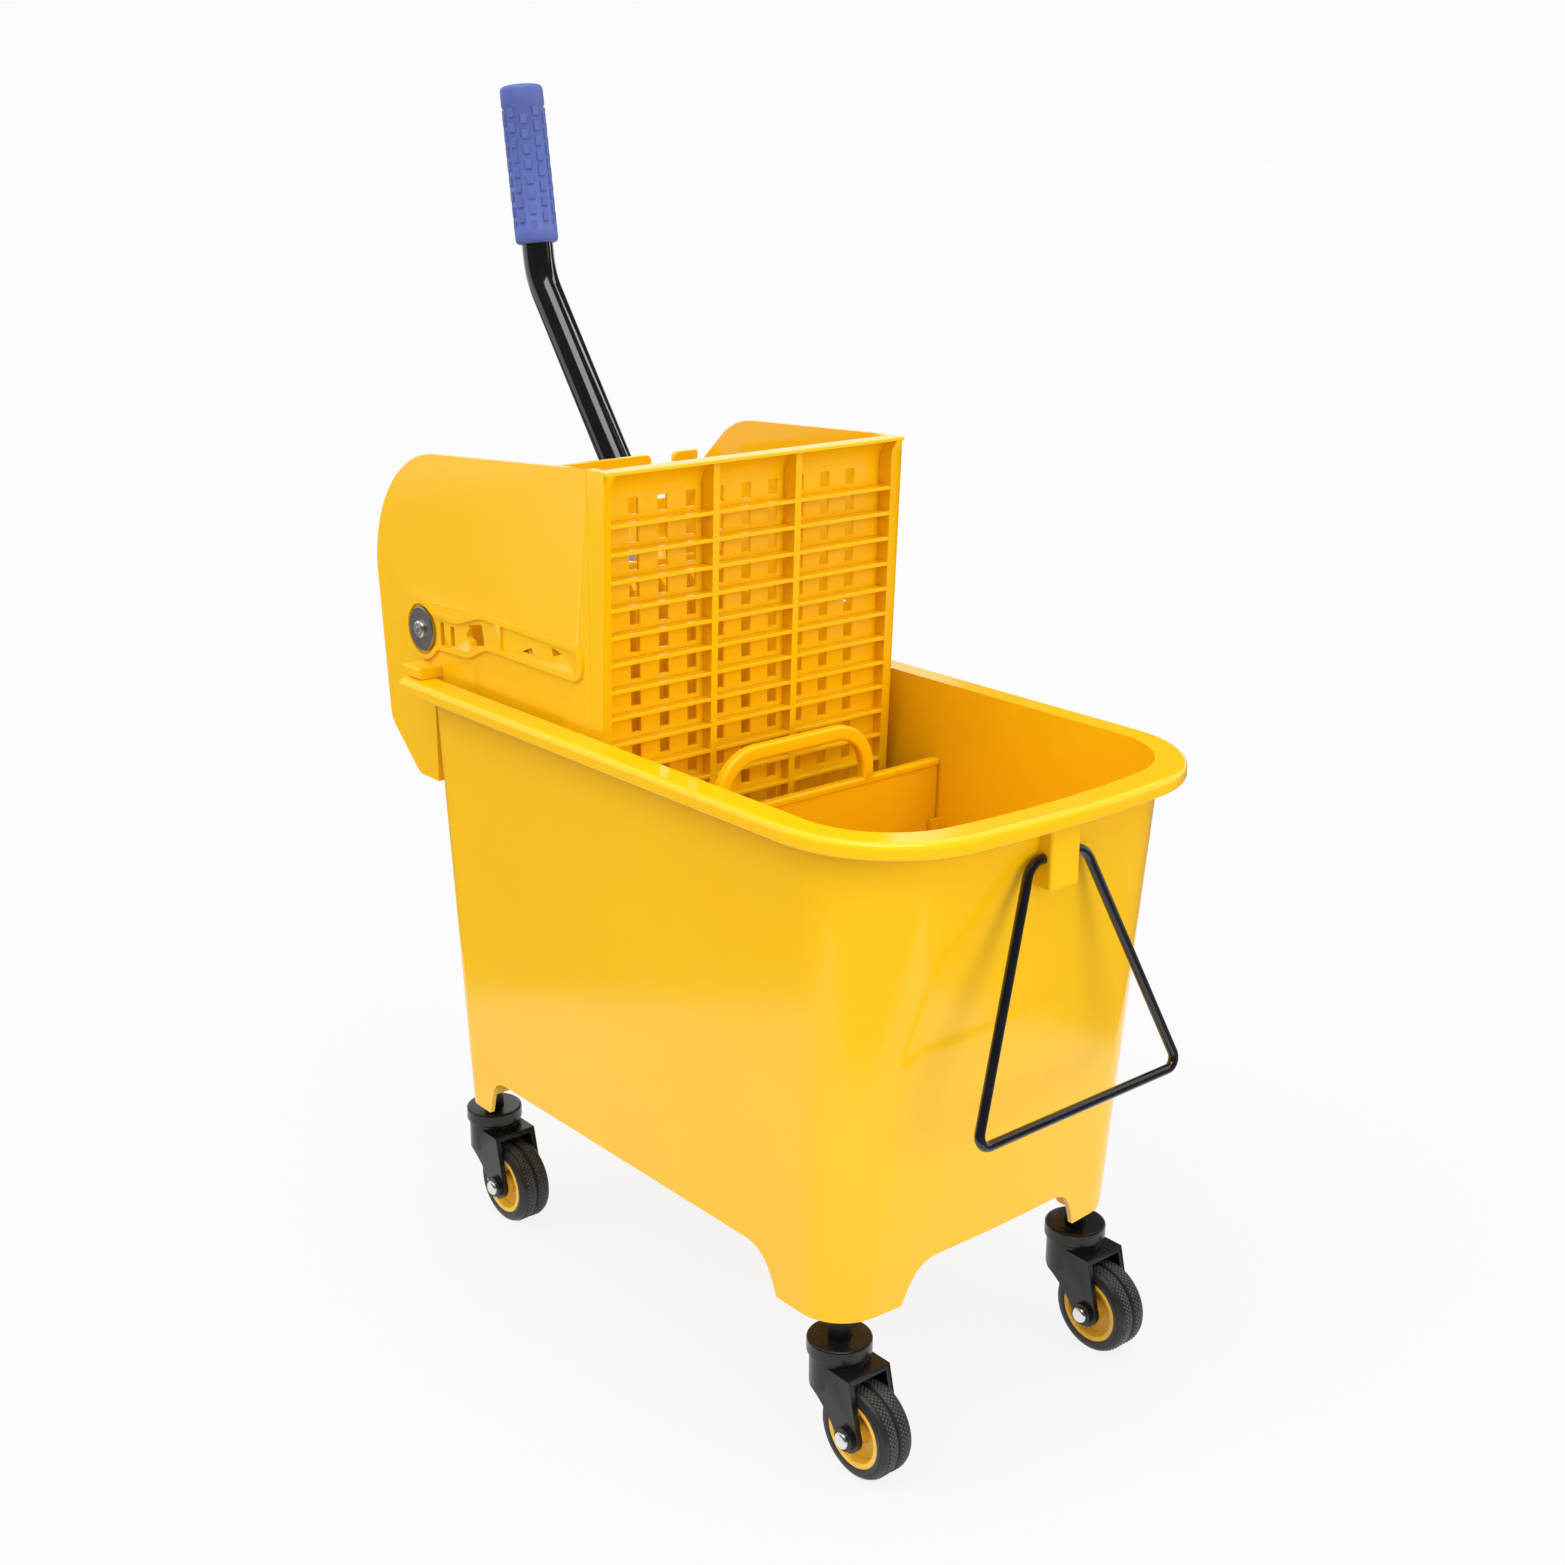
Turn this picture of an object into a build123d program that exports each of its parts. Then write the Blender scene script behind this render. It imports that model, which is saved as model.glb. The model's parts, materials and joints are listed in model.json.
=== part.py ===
"""Mop bucket on four swivel casters, with a side-press wringer hooked on its rear end.

Millimetres. +X points to the bowed front, +Y to the right, +Z up. The origin lies on the floor,
midway between the four caster stems.
"""
import os
from math import atan2, cos, degrees, radians, sin

from build123d import *

# Bucket: outline at two levels, walls and rim
BASE_Z = 100.0
RIM_Z = 373.0
BASE_FRONT, RIM_FRONT = 194.0, 226.0
BASE_REAR, RIM_REAR = -175.0, -189.0
BASE_HALF, RIM_HALF = 114.5, 121.5
BASE_BOW, RIM_BOW = 6.0, 13.0
BASE_CORNER, RIM_CORNER = 30.0, 58.0
REAR_CORNER = 14.0
WALL = 3.0
FLOOR_Z = 134.0
FLOOR = 4.0
REAR_WALL_Z = 356.0
RIM_PROUD = 14.0
RIM_LOW = 364.0
RIM_LIP = 3.0
RIM_PLATE = 4.0
RIM_ROUND = 3.6
RIM_END = -197.5

# Skirt under the floor: feet and the arches between them
FOOT_Z = 89.0
SKIRT_Z = 115.0
SIDE_ARCH = (-146.0, -126.0, 113.0, 140.0)
FRONT_ARCH = (-68.0, -44.0, 46.0, 70.0)
REAR_ARCH = (-66.0, -46.0, 46.0, 66.0)

# Casters
FRONT_STEM = (171.5, 95.5)
REAR_STEM = (-181.5, 89.0)
STEM_R = 6.25
STEM_LOW, STEM_HIGH = 52.0, 122.0
SOCKET_R = 13.0
REAR_SOCKET_Z = 150.0
CAP_R, CAP_LOW, CAP_HIGH = 18.2, 65.0, 73.4
FORK_TOP = 64.2
FORK_NECK_R, FORK_NECK_LOW = 16.6, 46.0
HOOD_TOP, HOOD_T, HOOD_FRONT = 61.6, 3.0, 24.2
FORK_HALF = 15.2
FORK_GAP = 11.7
TRAIL = 23.0
WHEEL_R, WHEEL_HALF = 26.6, 11.0
HUB_R, HUB_HALF = 19.6, 10.6
HUB_RING = 3.2
AXLE_R = 3.0
ARM_TIP_R = 8.4
AXLE_BOSS_R, AXLE_BOSS_PROUD = 6.8, 2.5
PIN_HEAD_R, PIN_HEAD_T = 4.8, 2.4
RUN = 0.05

# Divider
DIVIDER_X, DIVIDER_T = 20.0, 4.0
DIVIDER_TOP = 325.0
LOOP_HALF, LOOP_RISE, LOOP_BAND = 61.0, 38.0, 9.0
BEAD_T, BEAD_H = 6.4, 5.0
GUIDE_GAP = 0.6
GUIDE_TOP = 286.0

# Carrying wire at the front
WIRE_R = 2.8
WIRE_PIVOT = (226.5, 345.0)
WIRE_BAR = (252.0, 211.5)
WIRE_TOP_HALF, WIRE_BAR_HALF = 20.5, 78.6
WIRE_TOP_BEND, WIRE_BAR_BEND = 12.5, 6.0
LUG_HALF, LUG_FRONT = 11.0, 232.5
LUG_LOW = 329.0

# Wringer: built about its own middle, then hung loosely in the bucket, a little to the left
WRINGER_Y = -2.2
CHEEK_OUT, CHEEK_T = 110.7, 4.0
PIVOT_X, PIVOT_Z = -203.0, 400.0
SHOULDER_X, SHOULDER_Z, REAR_ROUND = -177.0, 431.0, 80.0
RIGHT_SHOULDER = (-164.8, 515.4)
TAIL_CORNER, TAIL_TIP = (-248.5, 332.0), (-216.0, 302.5)
TAIL_FRONT, CHEEK_INNER = -193.5, -173.5
TAB_X, TAB_W, TAB_H = -194.0, 20.0, 6.7
GRILLE_TOP = (-11.2, 522.0)
GRILLE_FOOT = (-18.8, 205.0)
WEB_X, WEB_T = -25.0, 2.5
LEVEL_RIB_T, INNER_RIB_T, OUTER_RIB_T = 2.4, 4.6, 6.4
INNER_RIB_Y = 30.6
FIRST_ROW, ROW_PITCH, ROW_COUNT = 491.0, 15.7, 18
HOLE_W, HOLE_H, HOLE_PITCH, HOLE_COUNT = 6.5, 9.0, 20.25, 9
LIP_PROUD, LIP_RISE, LIP_EDGE, LIP_HOLLOW, LIP_ROUND = 4.4, 9.0, 2.0, 14.0, 8.0
SADDLE_Z = 357.0
BAND_X, BAND_LOW, BAND_HIGH = -207.0, 444.5, 491.0
NOTCH_Y, NOTCH_W, NOTCH_ROUND = 77.2, 19.0, 4.0
ARM_END_X, ARM_LOW, ARM_HIGH = -31.5, 400.8, 420.8
WAIST_LOW, WAIST_HIGH = 390.0, 413.6
ARM_BORDER, ARM_RISE = 3.0, 1.8
BOSS_R = 19.0

# Press plate and its lever
PRESS_HALF = 105.2
PRESS_TOP = (-172.0, 428.0)
PRESS_FOOT = (-160.0, 262.0)
PRESS_T = 5.0
HUB_TUBE_R = 13.0
LEVER_Y = 80.2
LEVER_R, LEVER_BORE_R = 11.0, 9.5
LEVER_LEAN, GRIP_LEAN = 36.0, 8.2
LEVER_FOOT, BEND_UP = 8.0, 243.0
BEND_R = 50.0
GRIP_R, GRIP_LENGTH = 15.0, 105.8
GRIP_START = 22.8
SOCKET_UP, LEVER_SOCKET_R = 46.0, 15.0
PIVOT_BOLT_R, BOLT_END = 4.0, 86.0
PIVOT_HEAD_R, PIVOT_HEAD_T = 5.4, 2.2
WASHER_R, WASHER_T = 14.0, 2.2
FACE_GAP = 0.3

os.makedirs("parts", exist_ok=True)


def save(shape, node):
    """Write one piece under its own name."""
    export_step(shape, f"parts/{node}.step")


def hang(shape, node):
    """Write one piece of the wringer or its press, moved to where the wringer hangs."""
    save(Pos(0, WRINGER_Y, 0) * shape, node)


def between(low, high, z):
    """Value at height z of a size that changes evenly from the base to the rim."""
    return low + (high - low) * (z - BASE_Z) / (RIM_Z - BASE_Z)


def level(z, inset=0.0, rear_radius=None):
    """Outline of the bucket at height z, moved inwards by inset."""
    front = between(BASE_FRONT, RIM_FRONT, z) - inset
    rear = between(BASE_REAR, RIM_REAR, z) + inset
    half = between(BASE_HALF, RIM_HALF, z) - inset
    shoulder = front - between(BASE_BOW, RIM_BOW, z)
    outline = make_face([
        Line((rear, -half), (shoulder, -half)),
        ThreePointArc((shoulder, -half), (front, 0), (shoulder, half)),
        Line((shoulder, half), (rear, half)),
        Line((rear, half), (rear, -half)),
    ])
    face = Sketch() + outline
    face = fillet([v for v in face.vertices() if v.X > 0], between(BASE_CORNER, RIM_CORNER, z) - inset)
    face = fillet([v for v in face.vertices() if v.X < rear + 1], rear_radius or REAR_CORNER - inset)
    return Pos(0, 0, z) * face


def wall_loft(low, high, inset=0.0):
    """Drafted solid between two levels of the bucket."""
    return loft([level(low, inset), level(high, inset)], ruled=True)


def arch(points, plane, depth):
    """Cutter for the opening between two feet, with S-shaped flanks."""
    foot_a, flat_a, flat_b, foot_b = points
    low = FOOT_Z - 10
    outline = make_face([
        Line((foot_a, low), (foot_a, FOOT_Z)),
        Spline([(foot_a, FOOT_Z), (flat_a, SKIRT_Z)], tangents=[(0.35, 1), (1, 0)]),
        Line((flat_a, SKIRT_Z), (flat_b, SKIRT_Z)),
        Spline([(flat_b, SKIRT_Z), (foot_b, FOOT_Z)], tangents=[(1, 0), (0.35, -1)]),
        Line((foot_b, FOOT_Z), (foot_b, low)),
        Line((foot_b, low), (foot_a, low)),
    ])
    return extrude(plane * outline, depth)


def stems():
    """Name and place of each caster."""
    for name, (x, y) in (("front", FRONT_STEM), ("rear", REAR_STEM)):
        for side, sign in (("left", -1), ("right", 1)):
            yield f"{name}_{side}", x, sign * y


def rim():
    """Turned-over rim: a plate with a hanging lip, along both sides and the front."""
    height = RIM_Z - RIM_LOW
    outer = extrude(level(RIM_Z, -RIM_PROUD, 1.0), -height)
    outer = fillet(outer.edges().group_by(Axis.Z)[-1], RIM_ROUND)
    outer = fillet(outer.edges().group_by(Axis.Z)[0], RIM_LIP / 2)
    channel = extrude(Pos(0, 0, -RIM_PLATE) * level(RIM_Z, RIM_LIP - RIM_PROUD, 1.0), -height)
    inside = extrude(level(RIM_Z, WALL), -height)
    half = RIM_HALF + RIM_PROUD
    rear_gap = Pos((RIM_END + RIM_REAR) / 2 - 20, 0, RIM_Z) * Box(-RIM_END + RIM_REAR + 40, 2 * RIM_HALF, 100)
    behind = Pos(RIM_END - 20, 0, RIM_Z) * Box(40, 2 * half + 2, 100)
    end_wall = Pos(RIM_END + RIM_LIP / 2, 0, RIM_Z - height / 2) * Box(RIM_LIP, 2 * half, height)
    return outer - inside - (channel - end_wall) - rear_gap - behind


def guide_ribs():
    """Pairs of upright ribs on both walls that hold the divider's edges."""
    offset = DIVIDER_T / 2 + GUIDE_GAP + 1.5
    ribs = Part()
    for sign in (-1, 1):
        for step in (-offset, offset):
            ribs += Pos(DIVIDER_X + step, sign * 117, FLOOR_Z) * Box(
                3, 16, GUIDE_TOP - FLOOR_Z, align=(Align.CENTER, Align.CENTER, Align.MIN))
    return ribs & wall_loft(FLOOR_Z - 1, RIM_Z, WALL - 0.5)


def caster_sockets():
    """Bosses for the stems: inside the front corners, and standing out behind the rear wall."""
    bosses = Part()
    for name, x, y in stems():
        rear = name.startswith("rear")
        top = REAR_SOCKET_Z if rear else FLOOR_Z - 1
        boss = Pos(x, y, FOOT_Z) * Cylinder(SOCKET_R, top - FOOT_Z, align=(Align.CENTER, Align.CENTER, Align.MIN))
        if rear:
            web = Pos(x, y, FOOT_Z) * Box(
                SOCKET_R + 3, 2 * SOCKET_R, top - FOOT_Z, align=(Align.MIN, Align.CENTER, Align.MIN))
            slope = Pos(x - SOCKET_R, y, top) * Rot(0, -50, 0) * Box(60, 60, 30, align=(
                Align.CENTER, Align.CENTER, Align.MIN))
            boss = boss + web - slope
        else:
            boss &= wall_loft(FOOT_Z, FLOOR_Z, 0.5)
        bosses += boss
    return bosses - wall_loft(FLOOR_Z, RIM_Z, WALL)


def stem_bores():
    """Holes for the four stems."""
    bores = Part()
    for _, x, y in stems():
        bores += Pos(x, y, FOOT_Z - 1) * Cylinder(
            STEM_R, STEM_HIGH - FOOT_Z + 1, align=(Align.CENTER, Align.CENTER, Align.MIN))
    return bores


def bucket_shell():
    """The yellow bucket moulding."""
    hollow = wall_loft(FLOOR_Z, RIM_Z + 1, WALL)
    under = wall_loft(FOOT_Z - 1, FLOOR_Z - FLOOR, WALL)
    shell = wall_loft(FOOT_Z, RIM_Z) - under - hollow
    shell -= arch(SIDE_ARCH, Plane.XZ.offset(-200), 400)
    shell -= arch(FRONT_ARCH, Plane.YZ.offset(100), 150)
    shell -= arch(REAR_ARCH, Plane.YZ.offset(-250), 150)
    rear_low = Pos(RIM_REAR, 0, REAR_WALL_Z) * Box(
        30, 2 * (RIM_HALF - WALL), 60, align=(Align.CENTER, Align.CENTER, Align.MIN))
    lug = Pos(LUG_FRONT, 0, LUG_LOW) * Box(
        30, 2 * LUG_HALF, RIM_Z - 1 - LUG_LOW, align=(Align.MAX, Align.CENTER, Align.MIN))
    lug = fillet(lug.edges().filter_by(Axis.Z).group_by(Axis.X)[-1], 2)
    lug -= wall_loft(FLOOR_Z, RIM_Z, 1.0)
    eye = Pos(WIRE_PIVOT[0], 0, WIRE_PIVOT[1]) * Rot(90, 0, 0) * Cylinder(WIRE_R + RUN, 2 * LUG_HALF + 2)
    shell = shell + rim() + guide_ribs() + caster_sockets() + lug
    return shell - rear_low - stem_bores() - eye


def fork_side():
    """Side view of a caster fork: broad under the cap, narrowing to the axle."""
    tip = 0.7 * ARM_TIP_R
    arm = make_face([
        Polyline((-FORK_NECK_R, HOOD_TOP), (HOOD_FRONT, HOOD_TOP), (TRAIL + ARM_TIP_R, WHEEL_R + 5)),
        ThreePointArc((TRAIL + ARM_TIP_R, WHEEL_R + 5), (TRAIL, WHEEL_R - ARM_TIP_R), (TRAIL - tip, WHEEL_R - tip)),
        Spline([(TRAIL - tip, WHEEL_R - tip), (6, 35), (-10, FORK_NECK_LOW)]),
        Polyline((-10, FORK_NECK_LOW), (-FORK_NECK_R, FORK_NECK_LOW), (-FORK_NECK_R, HOOD_TOP)),
    ])
    return extrude(Plane.XZ * arm, FORK_HALF, both=True)


def caster_fork():
    """Black fork with a round neck, a hood over the wheel and two arms."""
    neck = Pos(0, 0, FORK_NECK_LOW) * Cylinder(
        FORK_NECK_R, FORK_TOP - FORK_NECK_LOW, align=(Align.CENTER, Align.CENTER, Align.MIN))
    round_back = Cylinder(FORK_NECK_R, 200)
    front_half = Box(80, 80, 200, align=(Align.MIN, Align.CENTER, Align.CENTER))
    body = (fork_side() & (round_back + front_half)) + neck
    across = Pos(TRAIL, 0, WHEEL_R) * Rot(90, 0, 0)
    wheel_room = across * Cylinder(WHEEL_R + 1.6, 2 * FORK_GAP)
    mouth = Pos(TRAIL, 0, WHEEL_R) * Box(60, 2 * FORK_GAP, 56, align=(Align.MIN, Align.CENTER, Align.CENTER))
    hood_room = Pos(STEM_R + 3.5, 0, 0) * Box(
        60, 2 * FORK_GAP, HOOD_TOP - HOOD_T, align=(Align.MIN, Align.CENTER, Align.MIN))
    bosses = across * Cylinder(AXLE_BOSS_R, 2 * (FORK_HALF + AXLE_BOSS_PROUD))
    axle = across * Cylinder(AXLE_R, 80)
    bore = Pos(0, 0, STEM_LOW - 1) * Cylinder(STEM_R + RUN, 40, align=(Align.CENTER, Align.CENTER, Align.MIN))
    return body + bosses - wheel_room - mouth - hood_room - axle - bore


def wheel_hub():
    """Yellow wheel centre with a flat ring and a dished face on both sides, bored for the axle."""
    ring = HUB_R - HUB_RING
    dish = HUB_HALF - 6.5
    section = make_face(Polyline(
        (AXLE_R + RUN, 0), (HUB_R, 0), (HUB_R, HUB_HALF), (ring, HUB_HALF), (ring - 1.2, dish),
        (7.0, dish), (6.5, HUB_HALF + 0.9), (AXLE_R + RUN, HUB_HALF + 0.9), close=True))
    half = revolve(Plane.XZ * section, Axis.Z)
    return Rot(90, 0, 0) * (half + mirror(half, about=Plane.XY))


def wheel_tyre():
    """Black tyre with rounded shoulders and a fine groove round the middle."""
    edge = WHEEL_HALF
    section = make_face([
        Line((HUB_R, 0), (WHEEL_R - 0.6, 0)),
        Line((WHEEL_R - 0.6, 0), (WHEEL_R, 0.7)),
        Line((WHEEL_R, 0.7), (WHEEL_R, edge - 4)),
        ThreePointArc((WHEEL_R, edge - 4), (WHEEL_R - 1.2, edge - 1.2), (WHEEL_R - 4, edge)),
        Line((WHEEL_R - 4, edge), (HUB_R, edge)),
        Line((HUB_R, edge), (HUB_R, 0)),
    ])
    half = revolve(Plane.XZ * section, Axis.Z)
    return Rot(90, 0, 0) * (half + mirror(half, about=Plane.XY))


def axle_bolt():
    """Bolt through fork and wheel, with a low domed head on the left."""
    face = FORK_HALF + AXLE_BOSS_PROUD
    shank = Pos(0, -face, 0) * Rot(-90, 0, 0) * Cylinder(
        AXLE_R, 2 * face + 3.5, align=(Align.CENTER, Align.CENTER, Align.MIN))
    head = Pos(0, -face, 0) * Rot(90, 0, 0) * Cylinder(
        PIN_HEAD_R, PIN_HEAD_T, align=(Align.CENTER, Align.CENTER, Align.MIN))
    return shank + fillet(head.edges().group_by(Axis.Y)[0], PIN_HEAD_T - 0.7)


def axle_nut():
    """Hexagon nut on the right end of the bolt."""
    nut = extrude(RegularPolygon(5.0, 6, major_radius=False), 3.2) - Cylinder(AXLE_R, 20)
    return Pos(0, FORK_HALF + AXLE_BOSS_PROUD, 0) * Rot(-90, 0, 0) * nut


def casters():
    """Write the pieces of the four casters."""
    stem = Pos(0, 0, STEM_LOW) * Cylinder(
        STEM_R, STEM_HIGH - STEM_LOW, align=(Align.CENTER, Align.CENTER, Align.MIN))
    cap = Pos(0, 0, CAP_LOW) * Cylinder(CAP_R, CAP_HIGH - CAP_LOW, align=(Align.CENTER, Align.CENTER, Align.MIN))
    cap = chamfer(cap.edges().group_by(Axis.Z)[-1], 0.8) - stem
    axle = Pos(TRAIL, 0, WHEEL_R)
    pieces = {
        "caster_stem": stem,
        "caster_cap": cap,
        "caster_fork": caster_fork(),
        "axle_bolt": axle * axle_bolt(),
        "axle_nut": axle * axle_nut(),
        "wheel_hub": axle * wheel_hub(),
        "wheel_tyre": axle * wheel_tyre(),
    }
    for corner, x, y in stems():
        for node, shape in pieces.items():
            save(Pos(x, y, 0) * shape, f"{node}_{corner}")


def divider():
    """Plate across the bucket with a loop handle on its top edge."""
    clear = WALL + 1.0
    plate = Pos(DIVIDER_X, 0, FLOOR_Z + 0.5) * Box(
        DIVIDER_T, 300, DIVIDER_TOP - FLOOR_Z - 0.5, align=(Align.CENTER, Align.CENTER, Align.MIN))
    bead = Pos(DIVIDER_X, 0, DIVIDER_TOP - BEAD_H / 2) * Box(BEAD_T, 300, BEAD_H)
    plate += fillet(bead.edges().filter_by(Axis.Y), 1.8)
    plate &= wall_loft(FLOOR_Z, RIM_Z, clear)
    outer = RectangleRounded(2 * LOOP_HALF, 2 * LOOP_RISE, 30)
    inner = RectangleRounded(2 * (LOOP_HALF - LOOP_BAND), 2 * (LOOP_RISE - LOOP_BAND), 30 - LOOP_BAND)
    loop = extrude(Plane.YZ * (outer - inner), (DIVIDER_T + 3) / 2, both=True)
    loop = fillet(loop.edges().filter_by(lambda e: abs(abs(e.center().X) - (DIVIDER_T + 3) / 2) < 0.01), 2.2)
    loop -= Pos(0, 0, -LOOP_RISE) * Box(40, 300, 2 * LOOP_RISE)
    return plate + Pos(DIVIDER_X, 0, DIVIDER_TOP - 2) * loop


def bail_wire():
    """Bent wire: two short ends in the lug, splayed legs and a straight bar."""
    x, z = WIRE_PIVOT
    bar_x, bar_z = WIRE_BAR
    route = [
        (x, 1.5, z), (x, WIRE_TOP_HALF, z), (bar_x, WIRE_BAR_HALF, bar_z),
        (bar_x, -WIRE_BAR_HALF, bar_z), (x, -WIRE_TOP_HALF, z), (x, -1.5, z),
    ]
    path = FilletPolyline(*route, radius=[WIRE_TOP_BEND, WIRE_BAR_BEND, WIRE_BAR_BEND, WIRE_TOP_BEND])
    section = Plane(path @ 0, z_dir=path % 0) * Circle(WIRE_R)
    return sweep(section, path)


def round_corner(face, point, radius):
    """Round the corner of a flat outline that lies nearest to a point."""
    return fillet([face.vertices().sort_by_distance((*point, 0))[0]], radius)


def arm_outline():
    """Outline of the pierced arm on a cheek plate: a round boss, a waist and a long rounded tongue."""
    low_bend, low_tongue = (-150, WAIST_LOW + 1.5), (-130, ARM_LOW)
    high_bend, high_tongue = (-162, WAIST_HIGH), (-136, ARM_HIGH + 1)
    low_end, high_end = (ARM_END_X, ARM_LOW - 0.6), (ARM_END_X, ARM_HIGH - 0.4)
    arm = Sketch() + make_face(Polyline(
        (PIVOT_X + 8, WAIST_LOW), low_bend, low_tongue, low_end, high_end, high_tongue, high_bend,
        (PIVOT_X + 8, WAIST_HIGH), close=True))
    for point in (low_bend, low_tongue, high_bend, high_tongue):
        arm = round_corner(arm, point, 25)
    for point in (low_end, high_end):
        arm = round_corner(arm, point, 9)
    arm += Pos(PIVOT_X, PIVOT_Z) * Circle(BOSS_R)
    return fillet([v for v in arm.vertices() if v.X < PIVOT_X + BOSS_R], 8)


def arm_openings():
    """Two slits, a barrel window and two small triangles, pierced through the arm."""
    slits = Pos(-181.6, 400.6) * Rectangle(4.4, 14.5) + Pos(-169.8, 401.2) * Rectangle(4.6, 12.4)
    window = Pos(-142.5, 407) * Rot(0, 0, 12) * (Rectangle(15, 13) + Pos(-3, 0) * Ellipse(8.5, 4.5))
    left = make_face(Polyline((-93.5, 406.9), (-83.5, 411.0), (-81.5, 406.8), close=True))
    right = make_face(Polyline((-63.3, 415.5), (-61.8, 410.2), (-52.2, 413.4), close=True))
    return slits + window + left + right


def cheek_outline(sign):
    """Side view of a cheek plate: round rear shoulder on the left, a sloped one on the right, and a tail."""
    top = (WEB_X, GRILLE_TOP[1])
    foot_z = GRILLE_FOOT[1]
    rear = (SHOULDER_X - REAR_ROUND, SHOULDER_Z)
    if sign < 0:
        crest = (SHOULDER_X, SHOULDER_Z + REAR_ROUND)
        shoulder = [Line(top, crest), CenterArc((SHOULDER_X, SHOULDER_Z), REAR_ROUND, 90, 90)]
        corners = {TAIL_CORNER: 16, TAIL_TIP: 8}
    else:
        shoulder = [Polyline(top, RIGHT_SHOULDER, rear)]
        corners = {TAIL_CORNER: 16, TAIL_TIP: 8, RIGHT_SHOULDER: 50, rear: 40}
    outline = Sketch() + make_face(shoulder + [
        Polyline(
            rear, TAIL_CORNER, TAIL_TIP, (TAIL_FRONT, TAIL_TIP[1]), (TAIL_FRONT, SADDLE_Z), (CHEEK_INNER, SADDLE_Z),
            (CHEEK_INNER, foot_z + 30)),
        ThreePointArc(
            (CHEEK_INNER, foot_z + 30), (CHEEK_INNER + 8.8, foot_z + 8.8), (CHEEK_INNER + 30, foot_z)),
        Polyline((CHEEK_INNER + 30, foot_z), (WEB_X, foot_z), top),
    ])
    for point, radius in corners.items():
        outline = round_corner(outline, point, radius)
    return outline


def wringer_side(sign):
    """Cheek plate with its pierced arm and a tab that rests on the rim; sign is -1 on the left."""
    outside = Plane(origin=(0, -CHEEK_OUT, 0), x_dir=(1, 0, 0), z_dir=(0, -1, 0))
    plate = extrude(outside * cheek_outline(sign), -CHEEK_T)
    arm = arm_outline()
    border = arm - offset(arm, -ARM_BORDER) + Pos(-116.5, 411) * Rectangle(4.5, 15)
    plate += extrude(outside * border, ARM_RISE)
    plate -= extrude(outside * arm_openings(), 10, both=True)
    plate -= Pos(PIVOT_X, -CHEEK_OUT, PIVOT_Z) * Rot(90, 0, 0) * Cylinder(PIVOT_BOLT_R + RUN, 60)
    tab = Pos(TAB_X, -CHEEK_OUT, RIM_Z + FACE_GAP) * Box(
        TAB_W, 16, TAB_H, align=(Align.CENTER, Align.MAX, Align.MIN))
    plate += fillet(tab.edges().group_by(Axis.Y)[0], 1.2)
    return plate if sign < 0 else mirror(plate, about=Plane.XZ)


def grille_side(front):
    """Side view of the grille from its web forward to a front line given from the foot up."""
    top, foot = GRILLE_TOP[1], GRILLE_FOOT[1]
    return Plane.XZ * make_face(Polyline((WEB_X, foot), *front, (WEB_X, top), close=True))


def lip_section():
    """Side view of the grille's top lip: a thin forward edge, hollow below and rounded behind."""
    top = GRILLE_TOP[1]
    tip = GRILLE_TOP[0] + LIP_PROUD
    web_front = WEB_X + WEB_T
    hollow_x, hollow_z = web_front + LIP_HOLLOW, top - LIP_EDGE - LIP_HOLLOW
    turn = sin(radians(45))
    return make_face([
        Polyline((WEB_X + LIP_ROUND, top), (tip, top), (tip, top - LIP_EDGE), (hollow_x, top - LIP_EDGE)),
        ThreePointArc(
            (hollow_x, top - LIP_EDGE), (hollow_x - LIP_HOLLOW * turn, hollow_z + LIP_HOLLOW * turn),
            (web_front, hollow_z)),
        Polyline((web_front, hollow_z), (WEB_X, hollow_z), (WEB_X, top - LIP_ROUND)),
        ThreePointArc(
            (WEB_X, top - LIP_ROUND), (WEB_X + LIP_ROUND * (1 - turn), top - LIP_ROUND * (1 - turn)),
            (WEB_X + LIP_ROUND, top)),
    ])


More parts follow.
